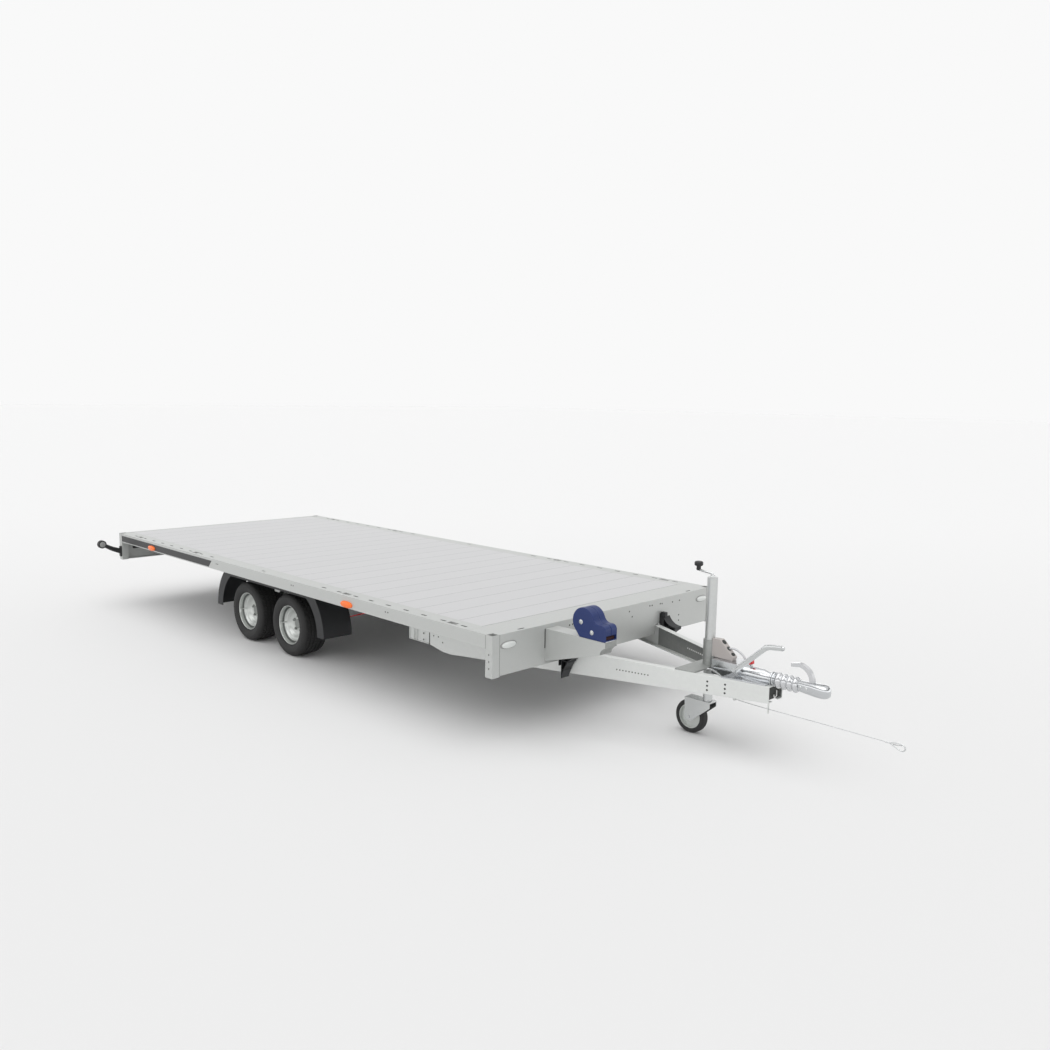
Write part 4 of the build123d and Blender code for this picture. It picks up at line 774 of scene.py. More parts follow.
    def piece(self, name: str, finish: Finish, slot: str, body: str = "chassis", soften: float = 0.0,
              sharp: float = 38.0, drill: "Shape | None" = None, stands_for: str = "",
              rounds: int = 2) -> bpy.types.Object:
        """Turns the faces into one piece that rides on a body.

        Args:
            name: the piece's name.
            finish: its surface.
            slot: the record's material slot; not used.
            body: the CAD body that carries it.
            soften: radius in millimetres by which its sharp edges are rounded, or 0.
            sharp: edges that turn by more degrees than this stay sharp.
            drill: a shape that is cut out of it.
            stands_for: the CAD node that it replaces, if any.
            rounds: flats that a rounded edge is made of.

        Returns:
            The piece.
        """
        piece = self.plain(name)
        if soften:
            bevel = piece.modifiers.new("soften", "BEVEL")
            bevel.width = soften * MM
            bevel.segments = rounds
            bevel.limit_method = "ANGLE"
            bevel.angle_limit = math.radians(sharp)
            settle(piece)
        if drill:
            cutter = drill.plain(f"{name}_drill")
            cut = piece.modifiers.new("drill", "BOOLEAN")
            cut.object = cutter
            cut.operation = "DIFFERENCE"
            cut.solver = "EXACT"
            settle(piece)
            bpy.data.objects.remove(cutter)
        piece.data.materials.clear()
        piece.data.materials.append(finish.material())
        piece.data.shade_smooth()
        piece.data.set_sharp_from_angle(angle=math.radians(sharp))
        if soften or drill:
            piece.modifiers.new("even", "WEIGHTED_NORMAL").keep_sharp = True
            settle(piece)
        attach(piece, body)
        if stands_for:
            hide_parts(stands_for)
        LOG.info("%s: %d faces on %s", name, len(piece.data.polygons), body)
        return piece

    def plain(self, name: str) -> bpy.types.Object:
        """Turns the faces into an object in metres, with its normals outward.

        Args:
            name: the object's name.

        Returns:
            The object.
        """
        bmesh.ops.scale(self.mesh, vec=Vector((MM,) * 3), verts=self.mesh.verts)
        bmesh.ops.recalc_face_normals(self.mesh, faces=self.mesh.faces)
        mesh = bpy.data.meshes.new(name)
        self.mesh.to_mesh(mesh)
        self.mesh.free()
        made = bpy.data.objects.new(name, mesh)
        bpy.context.scene.collection.objects.link(made)
        return made


def dress(finish: Finish, *nodes: str) -> None:
    """Gives CAD nodes that stay as they are a finish.

    Args:
        finish: the surface.
        nodes: names of the CAD nodes.
    """
    for node in nodes:
        data = frame["nodes"][node].data
        if not data.materials:
            data.materials.append(None)
        for number in range(len(data.materials)):
            data.materials[number] = finish.material()
        LOG.info("%s dressed in %s", node, finish.name)


def body_of(node: str) -> str:
    """Name of the CAD body that carries a node."""
    return frame["nodes"][node]["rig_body"]


def round_edges(node: str, name: str, finish: Finish, slot: str, soften: float, rounds: int = 2) -> None:
    """Takes over a CAD node's shape as it is, with its edges rounded by as much as soften."""
    Shape.of_node(node).piece(name, finish, slot, body_of(node), soften, stands_for=node, rounds=rounds)


# ---------------------------------------------------------------- studio
@dataclass
class Studio:
    """Camera, floor and soft light."""

    camera_place: Place = (5.499, -4.528, 1.952)
    heading: float = 134.922        # degrees from +X towards +Y
    pitch: float = -7.743           # degrees above level
    roll: float = 0.954
    lens: float = 32.4
    sensor: float = 36.0
    floor_half: float = 120.0       # metres
    backdrop: str = "#F9F9F9"
    dome_strength: float = 1.22
    dome: Pairs = ((0.0, 1.0), (0.12, 0.84), (0.35, 0.58), (1.0, 0.36))         # height, brightness
    mirror_strength: float = 1.6    # of what bright metal mirrors
    mirror_room: Pairs = ((0.0, 1.0), (0.26, 1.0), (0.33, 0.1), (0.44, 0.1), (0.5, 0.6))
    key_strength: float = 1.56
    key_spread: float = 84.0        # degrees across the overhead light
    key_turn: Pair = (14.0, 6.0)    # degrees that it leans to the right and to the front

    def build(self) -> None:
        """Sets up the camera, then the floor and the light."""
        self.camera()
        self.floor()
        self.light()

    def camera(self) -> None:
        """Places the camera and leaves colours as they are."""
        data = bpy.data.cameras.new("studio_camera")
        data.lens = self.lens
        data.sensor_width = self.sensor
        camera = bpy.data.objects.new("studio_camera", data)
        turn = (Matrix.Rotation(math.radians(self.heading - 90), 4, "Z")
                @ Matrix.Rotation(math.radians(90 + self.pitch), 4, "X")
                @ Matrix.Rotation(math.radians(self.roll), 4, "Z"))
        camera.matrix_world = Matrix.Translation(self.camera_place) @ turn
        bpy.context.scene.collection.objects.link(camera)
        bpy.context.scene.camera = camera
        bpy.context.scene.view_settings.view_transform = "Standard"

    def floor(self) -> None:
        """Lays the pale floor."""
        shape = Shape()
        half = self.floor_half / MM
        shape.face(shape.ring(Vector((x * half, y * half, 0)) for x, y in
                              ((-1, -1), (1, -1), (1, 1), (-1, 1))))
        floor = shape.plain("studio_floor")
        floor.data.materials.append(FLOOR.material())

    def light(self) -> None:
        """Hangs a wide overhead light in an even white room."""
        key = bpy.data.lights.new("overhead_softbox", "SUN")
        key.energy = self.key_strength
        key.angle = math.radians(self.key_spread)
        lamp = bpy.data.objects.new("overhead_softbox", key)
        lamp.rotation_euler = (math.radians(self.key_turn[0]), math.radians(self.key_turn[1]), 0)
        bpy.context.scene.collection.objects.link(lamp)
        world = bpy.data.worlds.new("studio_room")
        world.use_nodes = True
        bpy.context.scene.world = world
        tree = world.node_tree
        seen = add_node(tree, "ShaderNodeBackground", {"Color": linear(self.backdrop), "Strength": 1.0})
        lit = tree.nodes["Background"]
        tree.links.new(self.heights(tree, self.dome), lit.inputs["Color"])
        lit.inputs["Strength"].default_value = self.dome_strength
        path = add_node(tree, "ShaderNodeLightPath")
        mirrored = add_node(tree, "ShaderNodeBackground",
                            {"Color": self.heights(tree, self.mirror_room), "Strength": self.mirror_strength})
        room = add_node(tree, "ShaderNodeMixShader",
                        {0: path.outputs["Is Glossy Ray"], 1: lit.outputs[0], 2: mirrored.outputs[0]})
        both = add_node(tree, "ShaderNodeMixShader",
                        {0: path.outputs["Is Camera Ray"], 1: room.outputs[0], 2: seen.outputs[0]})
        tree.links.new(both.outputs[0], tree.nodes["World Output"].inputs["Surface"])

    @staticmethod
    def heights(tree: Tree, levels: Pairs) -> Socket:
        """Brightness round the room that changes with height only.

        Args:
            tree: the world's node tree.
            levels: pairs of height, from 0 at the horizon to 1 overhead, and brightness.

        Returns:
            The brightness as a colour.
        """
        heading = add_node(tree, "ShaderNodeTexCoord").outputs["Generated"]
        axis = add_node(tree, "ShaderNodeSeparateXYZ", {"Vector": heading})
        ramp = add_node(tree, "ShaderNodeValToRGB", {"Fac": axis.outputs["Z"]})
        stops = ramp.color_ramp.elements
        while len(stops) < len(levels):
            stops.new(1.0)
        for stop, (height, level) in zip(stops, levels):
            stop.position = height
            stop.color = (level, level, level, 1.0)
        return ramp.outputs["Color"]


# ---------------------------------------------------------------- breakaway cable
@dataclass
class BreakawayCable:
    """Stiff wire rope that runs straight forward below the drawbar, with its sprung hook."""

    route: Places = ((2.730, -0.0585, 0.291), (2.800, -0.060, 0.2875), (2.939, -0.0605, 0.2855),
                     (3.200, -0.0595, 0.2865), (3.595, -0.0605, 0.284), (3.628, -0.0605, 0.284))    # metres
    radius: float = 0.002           # metres
    length: float = 0.898           # metres, with the stretch inside the ferrule
    ferrule: float = 26.0
    ferrule_start: float = 3595.0
    ferrule_radius: float = 4.4
    dents: tuple[float, ...] = (7.0, 13.0, 19.0)    # places of its crimps
    dent_radius: float = 3.7
    wire: float = 3.4
    loop: Pairs = ((0, 0), (22, 6.5), (44, 9), (61, 7), (73, -2), (75, -14), (65, -25), (46, -23),
                   (22, -12))    # ahead of the ferrule, and up
    latch: Pairs = ((12, -4), (34, -2), (58, 2))
    latch_share: float = 0.6        # of the loop's wire

    def build(self) -> None:
        curve = bpy.data.curves.new("breakaway_rope", "CURVE")
        curve.dimensions = "3D"
        spline = curve.splines.new("NURBS")
        spline.points.add(len(self.route) - 1)
        for point, place in zip(spline.points, self.route):
            point.co = (*place, 1.0)
        spline.order_u = 3
        spline.use_endpoint_u = True
        curve.bevel_depth = self.radius
        curve.bevel_resolution = 3
        curve.materials.append(WIRE.material())
        rope = bpy.data.objects.new("breakaway_rope", curve)
        bpy.context.scene.collection.objects.link(rope)
        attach(rope, "chassis")
        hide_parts("breakaway_cable")
        hook = self.hook()

    def hook(self) -> bpy.types.Object:
        """Bends the hook's wire loop and latch, and presses its ferrule on.

        Returns:
            The hook's piece.
        """
        last = Vector(self.route[-1]) / MM
        end = Vector((self.ferrule_start, last.y, last.z))
        eye = end + ALONG * self.ferrule
        shape = Shape()
        edge, dented = self.ferrule_radius, self.dent_radius
        profile = [(0, 0), (edge - 0.8, 0), (edge, 1)]
        for dent in self.dents:
            profile += [(edge, dent - 2), (dented, dent - 1), (dented, dent + 1), (edge, dent + 2)]
        profile += [(edge, self.ferrule), (edge - 1.8, self.ferrule + 1), (0, self.ferrule + 1)]
        shape.turned(profile, end, ALONG, 20)
        corners = [eye + Vector((x, 0, z)) for x, z in self.loop]
        shape.swept(smooth_line(corners, 6, looped=True), self.wire, 10, looped=True)
        latch = [eye + Vector((x, 0, z)) for x, z in self.latch]
        shape.swept(smooth_line(latch, 4), self.wire * self.latch_share, 8)
        return shape.piece("breakaway_spring_hook", BRIGHT_STEEL, "wire_rope",
                           stands_for="breakaway_hook")


# ---------------------------------------------------------------- deck
@dataclass
class Deck:
    """Aluminium planks between two folded side rails, with lashing rings and corner posts."""

    rail_fold: float = 1.4
    post_fold: float = 2.0
    film_long: float = 1799.0       # grey film's top edge, ahead of the deck's rear edge
    film_short: float = 1749.0
    film_top: float = 19.0          # below the deck
    film_bottom: float = 72.0
    film_thickness: float = 0.5
    post: float = 56.0              # across a corner post
    joint: float = 3.0              # across a shaded joint
    joint_lift: float = 0.3
    joint_drop: float = 1.0         # its top, below the deck
    rivet_places: tuple[float, ...] = (1890.0, 2995.0, 4095.0)     # ahead of the deck's rear edge
    rivet_drop: float = 32.0        # below the deck
    rivet_gap: float = 26.0         # between a pair
    rivet_radius: float = 5.0
    rivet_height: float = 1.4
    slot_offsets: tuple[float, ...] = (805.0, 987.0, 1176.0, 1346.0, 1528.0, 1708.0, 1882.0, 2062.0, 2247.0)
    slot_inset: float = 42.0        # inside the rail's outer face
    slot_half: Pair = (26.0, 7.5)
    slot_drop: float = 0.3          # below the deck
    front_slot: Pair = (26.0, 812.0)        # behind the front face, and off the middle
    ring_offsets: Pair = (1075.0, 2150.0)
    ring_drop: float = 12.5         # below the deck
    ring_radius: float = 13.0
    ring_bar: float = 4.2

    def build(self) -> None:
        """Dresses the planks, then makes the rails, posts and their small parts."""
        dress(DECK, "deck_planks")
        dress(PAN_ZINC, "lashing_rings")
        for side in SIDES:
            node = f"side_rail_{side}"
            round_edges(node, f"folded_{node}", SHEET, "galvanised_sheet", self.rail_fold)
        round_edges("corner_posts", "folded_corner_posts", SHEET, "galvanised_sheet", self.post_fold)
        self.low, self.high = span("corner_posts")
        self.rail_low, self.rail_high = span("side_rail_left")
        self.joints()
        self.films()
        self.rivets()
        self.slots()
        self.rings()

    def joints(self) -> None:
        """Draws the shaded joints between the posts and the rails and front panel."""
        shape = Shape()
        half, top = self.joint / 2, self.high.z - self.joint_drop
        face = self.rail_high.y
        inner = self.high.y - self.post
        for way in WAYS:
            for edge in (self.low.x + self.post, self.high.x - self.post):
                shape.block_on(way, (edge - half, face, self.rail_low.z),
                               (edge + half, face + self.joint_lift, top))
            shape.block_on(way, (self.high.x, inner - half, span("front_panel")[0].z),
                           (self.high.x + self.joint_lift, inner + half, top))
        shape.piece("corner_post_joints", JOINT, "galvanised_sheet")

    def films(self) -> None:
        """Lays the dark film along the rear of both rails, cut off at a slant."""
        rear, top = self.rail_low.x, self.rail_high.z
        bottom_edge, top_edge = top - self.film_bottom, top - self.film_top
        outline = [(rear, bottom_edge), (self.low.x + self.film_short, bottom_edge),
                   (self.low.x + self.film_long, top_edge), (rear, top_edge)]
        shape = Shape()
        for way in WAYS:
            shape.prism(side_view(outline, way * self.rail_high.y), ACROSS * way * self.film_thickness)
        shape.piece("side_rail_films", FILM, "galvanised_sheet")

    def rivets(self) -> None:
        """Sets pairs of flush rivets along the rails, dark with painted shade."""
        shape = Shape()
        height = self.rail_high.z - self.rivet_drop
        for way in WAYS:
            for place in self.rivet_places:
                for shift in (-0.5, 0.5):
                    x = self.low.x + place + shift * self.rivet_gap
                    shape.rivet(Vector((x, way * self.rail_high.y, height)), ACROSS * way,
                                self.rivet_radius, self.rivet_height)
        shape.piece("side_rail_rivets", PAINTED_SHADE, "galvanised_sheet")

    def rail_places(self, offsets: Sequence[float]) -> list[Vector]:
        """Places on the deck's edge strips.

        Args:
            offsets: their distances from the deck's middle, to the front and to the rear.

        Returns:
            The places, on both sides, at the deck's height.
        """
        middle, side = (self.low.x + self.high.x) / 2, self.high.y - self.slot_inset
        return [Vector((x, way * side, self.high.z)) for way in WAYS for offset in offsets
                for x in (middle - offset, middle + offset)]

    def slots(self) -> None:
        """Sets a dark plate just inside each lashing slot, as the shade in the rail."""
        places = [(place, self.slot_half) for place in self.rail_places(self.slot_offsets)]
        front = self.high.x - self.front_slot[0]
        places += [(Vector((front, way * self.front_slot[1], self.high.z)), self.slot_half[::-1])
                   for way in WAYS]
        shape = Shape()
        for place, half in places:
            outline = rounded_box(*half, 32, 3.0)
            shape.prism([place + Vector((x, y, -self.slot_drop)) for x, y in outline], -UP)
        shape.piece("lashing_slot_shades", PAINTED_SHADE, "galvanised_sheet")

    def rings(self) -> None:
        """Lays a ring in each lashing pan."""
        shape = Shape()
        turn = arc((0, 0), self.ring_radius, 0, 350, 35)
        for place in self.rail_places(self.ring_offsets):
            loop = [place + Vector((x, y, -self.ring_drop)) for x, y in turn]
            shape.swept(loop, self.ring_bar, 10, looped=True)
        shape.piece("lashing_ring_bars", AXLE_STEEL, "galvanised_frame", sharp=ROUND)


# ---------------------------------------------------------------- panels
@dataclass
class FrontPanel:
    """Folded front sheet with its screws, and the rear sheet with its blank plate."""

    fold: float = 1.4
    screws: Pairs = ((140, 600), (170, 561), (353, 606), (377, 605), (465, 604), (485, 602), (601, 597),
                     (680, 597), (677, 497), (678, 459), (-427, 603), (-401, 604))    # across and up
    screw_radius: float = 5.5
    screw_height: float = 1.2

    def build(self) -> None:
        """Folds the panel, sets its screws, dark with painted shade, and dresses the rear one."""
        face = span("front_panel")[1].x
        round_edges("front_panel", "folded_front_panel", SHEET, "galvanised_sheet", self.fold)
        screws = Shape()
        for y, z in self.screws:
            screws.rivet(Vector((face, y, z)), ALONG, self.screw_radius, self.screw_height)
        screws.piece("front_panel_screws", PAINTED_SHADE, "galvanised_sheet")
        dress(SHEET, "rear_panel")
        dress(PLATE, "number_plate")


# ---------------------------------------------------------------- lamps
@dataclass
class MarkerLamps:
    """Oval side and front markers, and the round ones on rubber arms at the rear."""

    oval_half: float = 63.5         # half the length of an oval lamp
    base_share: float = 0.35        # of a front lamp's depth: its base
    oval_lens: Pair = (0.84, 0.82)  # a front lens's shares of the base's length and height
    lens_lift: float = 2.0
    lens_share: float = 0.74        # of the CAD's round lens: what shows inside the rubber's lip
    ring_edge: float = 1.0          # rubber past the CAD lens
    ring_half: float = 21.0         # half the rubber's length round the lamp
    lens_bulge: Pairs = ((0, 12), (1, 12), (1, 20), (0.8, 22.3), (0.4, 23.6), (0, 24))
    lamp_shift: float = 4.0         # outward
    arm_radii: Pair = (24.0, 16.0)  # at its root and at its lamp
    arm_sag: float = 6.0
    arm_end: Pair = (0.7, 0.35)     # its end inside and below the lamp's middle, in lens radii
    root: Pair = (8.0, 52.0)        # outside the post, and above the CAD arm's foot
    pad_half: Pair = (20.0, 48.0)
    pad_thickness: float = 9.0
    boot: Pairs = ((10, 0), (26, 0), (20, 10), (14, 22), (10, 22))

    def build(self) -> None:
        """Makes all marker lamps."""
        self.side_lamps()
        self.front_lamps()
        self.arms()

    def side_lamps(self) -> None:
        """Domes the four amber lamps on the rails."""
        low, high = span("side_marker_lamps")
        face = span("side_rail_left")[1].y
        half = (self.oval_half, (high.z - low.z) / 2)
        lenses = Shape()
        for way in WAYS:
            for x in (low.x + self.oval_half, high.x - self.oval_half):
                foot = Vector((x, way * face, (low.z + high.z) / 2))
                lenses.dome(foot, ALONG, UP, ACROSS * way, half, high.y - face)
        lenses.piece("side_lamp_lenses", AMBER, "amber_lens", sharp=ROUND,
                     stands_for="side_marker_lamps")

    def front_lamps(self) -> None:
        """Domes the two clear lamps on the front panel."""
        low, high = span("front_marker_lamps")
        lenses, bases = Shape(), Shape()
        half, depth = (self.oval_half, (high.z - low.z) / 2), high.x - low.x
        lens_half = [size * share for size, share in zip(half, self.oval_lens)]
        for way in WAYS:
            foot = Vector((low.x, way * (high.y - self.oval_half), (low.z + high.z) / 2))
            bases.dome(foot, ACROSS, UP, ALONG, half, depth * self.base_share)
            lenses.dome(foot + ALONG * self.lens_lift, ACROSS, UP, ALONG, lens_half, depth - self.lens_lift)
        bases.piece("front_lamp_bases", SMOKED, "clear_lens", sharp=ROUND)
        lenses.piece("front_lamp_lenses", CLEAR, "clear_lens", sharp=ROUND,
                     stands_for="front_marker_lamps")

    def arms(self) -> None:
        """Bends the rubber arms out and up from the rear posts to their round lamps."""
        low, high = span("width_marker_arms")
        lens_low, lens_high = span("width_marker_lenses")
        middle, lamp_z = (low.x + high.x) / 2, (lens_low.z + lens_high.z) / 2
        full = (lens_high.z - lens_low.z) / 2
        radius, edge = full * self.lens_share, full + self.ring_edge
        lamp_y = lens_high.y - full + self.lamp_shift
        post_y = span("corner_posts")[1].y
        half = self.ring_half
        collar = [(radius, -half), (edge - 3, -half), (edge, 4 - half), (edge - 2, -6), (edge - 2, 6),
                  (edge, half - 4), (edge - 3, half), (radius, half)]
        lens = [(radius * share, distance) for share, distance in self.lens_bulge]
        thick, thin = self.arm_radii
        inward, below = self.arm_end
        arms, glass, rears = Shape(), Shape(), Shape()
        for way in WAYS:
            root = Vector((middle, way * (post_y + self.root[0]), low.z + self.root[1]))
            tip = Vector((middle, way * (lamp_y - radius * inward), lamp_z - radius * below))
            bend = (root + tip) / 2 - UP * self.arm_sag
            arms.swept(smooth_line([root, bend, tip], 10), lambda share: thick + (thin - thick) * share, 20)
            pad = [Vector((middle + x, way * post_y, low.z + self.pad_half[1] + z))
                   for x, z in rounded_box(*self.pad_half, 32, 6)]
            arms.prism(pad, ACROSS * way * self.pad_thickness)
            arms.turned(self.boot, root, ACROSS * way, 24, looped=True)
            hub = Vector((middle, way * lamp_y, lamp_z))
            arms.turned(collar, hub, ALONG, looped=True)
            glass.turned(lens, hub, ALONG)
            rears.turned(lens, hub, -ALONG)
        arms.piece("width_marker_rubbers", BLACK_RUBBER, "black_rubber", stands_for="width_marker_arms")
        glass.piece("width_marker_front_lenses", SMOKED, "clear_lens", stands_for="width_marker_lenses")
        rears.piece("width_marker_rear_lenses", RED, "red_lens")


@dataclass
class RearLamps:
    """Three-chamber tail lamps in black housings."""

    chambers: tuple[tuple[str, Finish, float], ...] = (("amber", AMBER, 0.36), ("red", RED, 0.40),
                                                       ("clear", CLEAR, 0.24))     # share of the length
    frame_width: float = 6.0
    lens_depth: float = 12.0
    lens_gap: float = 2.0

    def build(self) -> None:
        """Moulds the housings and their lenses."""
        low, high = span("rear_lamps")
        housing = Shape()
        inner = self.inner()
        front = low.x + self.lens_depth
        half_height = (high.z - low.z) / 2 - self.frame_width
        start = high.y - self.frame_width
        for way in WAYS:
            housing.block_on(way, (low.x + self.lens_depth / 2, inner, low.z), high)
        housing.piece("rear_lamp_housings", BLACK_NYLON, "black_polypropylene", soften=3.0,
                      stands_for="rear_lamps")
        for name, finish, share in self.chambers:
            width = share * (high.y - inner - 2 * self.frame_width)
            lenses = Shape()
            half = (width - self.lens_gap) / 2
            for way in WAYS:
                middle = Vector((front, way * (start - half), (low.z + high.z) / 2))
                outline = [middle + ACROSS * y + UP * z for y, z in rounded_box(half, half_height, 40, 8)]
                lenses.prism(outline, -ALONG * self.lens_depth)
            lenses.piece(f"rear_lamp_{name}_lenses", finish, f"{name}_lens", soften=2.0)
            start -= width

    @staticmethod
    def inner() -> float:
        """Distance of a lamp's inner end from the trailer's middle."""
        places = [vertex.co.y for vertex in frame["nodes"]["rear_lamps"].data.vertices]
        return min(y for y in places if y > 0) / MM


# ---------------------------------------------------------------- winch
@dataclass
class Winch:
    """Webbing winch under a two-part navy cover, on its folded bracket."""

    lobe_radius: float = 80.0
    lobe_reach: float = 288.0       # lobe's centre ahead of the front panel
    lobe_height: float = 92.0       # above the bracket
    lobe_heel: float = 26.0         # lobe's foot behind its centre
    lobe_start: float = 222.0       # degrees, where the foot meets it
    nose_height: float = 92.0
    nose_radius: float = 30.0
    fillet: float = 45.0
    cover_fold: float = 4.0
    seam: float = 3.0
    seam_share: float = 0.95        # of the cover's outline: what shows in the seam
    bolts: Pairs = ((273, 88), (354, 40))    # ahead of the front panel, above the bracket
    bolt: Place = (17.0, 8.0, 13.5)         # across flats, height, washer
    strap_rear: float = 14.0        # above the strap's foot
    strap_line: Pairs = ((-9, 16), (-2, 11), (0, 1))    # from its front end, above its foot
    strap_sheet: float = 2.5
    lip: Place = (38.0, 47.0, 5.0)          # behind the nose, half width, thickness
    sheet: float = 4.0
    hollow: Pairs = ((0, 31), (27, 51), (37, 77))    # behind the nose, below the top
    root_depth: float = 197.0
    # joint and joint_depth size a dark strip of painted shade in the gap beside the root.
    joint: float = 6.0              # the shaded joint beside the root
    joint_depth: float = 118.0

    def build(self) -> None:
        """Makes the cover, bolts, strap and bracket."""
        self.low, self.high = span("winch_seat")
        self.cover_low, self.cover_high = span("winch_cover")
        self.strap_low, self.strap_high = span("winch_strap")
        self.middle = (self.cover_low.y + self.cover_high.y) / 2
        self.cover()
        self.fixings()
        self.strap()
        self.bracket()

    def outline(self) -> Outline:
        """Side view of the cover: the big lobe over the drum, a hollow, then the low nose.

        Returns:
            Points (along, up), from the lobe's foot to the nose's.
        """
        x, z = self.low.x + self.lobe_reach, self.high.z + self.lobe_height
        base, nose, top = self.high.z, self.cover_high.x, self.high.z + self.nose_height
        reach = self.lobe_radius + self.fillet
        lift = top + self.fillet - z
        hollow = (x + math.sqrt(reach ** 2 - lift ** 2), top + self.fillet)
        meet = math.degrees(math.atan2(lift, hollow[0] - x))
        points = [(x - self.lobe_heel, base)]
        points += arc((x, z), self.lobe_radius, self.lobe_start, meet, 30)
        points += arc(hollow, self.fillet, 180 + meet, 270, 6)[1:]
        points += arc((nose - self.nose_radius, top - self.nose_radius), self.nose_radius, 90, 0, 8)
        return points + [(nose, base)]

    def window(self, behind: float, beside: float) -> Shape:
        """The room that the strap needs in the nose.

        Args:
            behind: how far it reaches behind the strap.
            beside: how far it reaches to either side of it.

        Returns:
            The shape to cut out.
        """
        low, high = self.strap_low, self.strap_high
        shape = Shape()
        shape.block((low.x - behind, low.y - beside, low.z - 1),
                    (self.cover_high.x + 10, high.y + beside, high.z + 2))
        return shape

    def cover(self) -> None:
        """Moulds the cover's two halves with a window for the strap in their nose, and what shows between."""
        outline = self.outline()
        halves, core = Shape(), Shape()
        for way in WAYS:
            edge = self.middle + way * (self.cover_high.y - self.middle)
            start = self.middle + way * self.seam / 2
            halves.prism(side_view(outline, start), ACROSS * (edge - start))
        halves.piece("winch_cover_halves", NAVY_ABS, "navy_plastic", soften=self.cover_fold, sharp=FIRM,
                     drill=self.window(1.0, 0.5), stands_for="winch_cover", rounds=3)
        centre = tuple(sum(values) / len(outline) for values in zip(*outline))
        inner = shrunk(outline, centre, (self.seam_share, self.seam_share))
        core.prism(side_view(inner, self.middle - self.seam / 2 - 1), ACROSS * (self.seam + 2))
        core.piece("winch_cover_seam", NAVY_ABS, "navy_plastic", drill=self.window(2.0, 4.0))

    def fixings(self) -> None:
        """Sets bright bolts through both faces of the cover."""
        shape = Shape()
        for reach, lift in self.bolts:
            for way, face in ((-1, self.cover_low.y), (1, self.cover_high.y)):
                foot = Vector((self.low.x + reach, face, self.high.z + lift))
                shape.nut(foot, ACROSS * way, *self.bolt)
        shape.piece("winch_bolts", BRIGHT_STEEL, "lever_steel", sharp=CRISP)

    def strap(self) -> None:
        """Rolls the webbing's visible end over its lip plate, in two layers."""
        low, high = self.strap_low, self.strap_high
        profile = [(low.x, low.z + self.strap_rear)]
        profile += [(high.x + x, low.z + z) for x, z in self.strap_line]
        path = smooth_line(side_view(profile, low.y), 6)
        under = [point - UP * self.strap_sheet for point in reversed(path)]
        shape = Shape()
        for layer in range(2):
            drop = UP * 2 * self.strap_sheet * layer
            shape.prism([point - drop for point in path + under], ACROSS * (high.y - low.y))
        shape.piece("winch_webbing", WEBBING, "strap_webbing", stands_for="winch_strap")
        lip = Shape()
        depth, half, thickness = self.lip
        middle, nose, base = (low.y + high.y) / 2, self.cover_high.x, self.high.z
        lip.block((nose - depth, middle - half, base), (nose + 0.5, middle + half, base + thickness))
        lip.piece("winch_lip_plate", BRIGHT_STEEL, "lever_steel", soften=1.5)

    def bracket(self) -> None:
        """Folds the bracket: two cheeks, a top, a hollowed nose and a root flange, with the nose's end sheet
        and a strip beside the root darker as painted shade.
        """
        rear, nose, top = self.low.x, self.high.x, self.high.z
        hollow = bowed(*[(nose - x, top - z) for x, z in self.hollow], steps=8)
        cheek = [(rear, top), (nose, top)] + hollow + [(rear, top - self.root_depth)]
        shape = Shape()
        for edge, way in ((self.low.y, 1), (self.high.y, -1)):
            shape.prism(side_view(cheek, edge), ACROSS * way * self.sheet)
        inner_low, inner_high = self.low.y + self.sheet, self.high.y - self.sheet
        nose_line = [(nose, top)] + hollow
        nose_back = [(x - self.sheet, z) for x, z in reversed(nose_line)]
        # The end sheet faces down and forward, so it is drawn in the darker axle zinc as painted shade.
        end = Shape()
        end.prism(side_view(nose_line + nose_back, inner_low), ACROSS * (inner_high - inner_low))
        end.piece("winch_bracket_end", AXLE_STEEL, "galvanised_sheet")
        shape.block((rear, inner_low, top - self.sheet), (nose - self.sheet, inner_high, top))
        shape.block((rear, inner_low, top - self.root_depth),
                    (rear + self.sheet, inner_high, top - self.sheet))
        shape.piece("winch_bracket", SHEET, "galvanised_sheet", soften=1.0, stands_for="winch_seat")
        root = Shape()
        root.block((rear, self.low.y - self.joint, top - self.joint_depth),
                   (rear + 1, self.low.y, top - self.sheet))
        root.piece("winch_bracket_root_shade", PAINTED_SHADE, "galvanised_sheet")


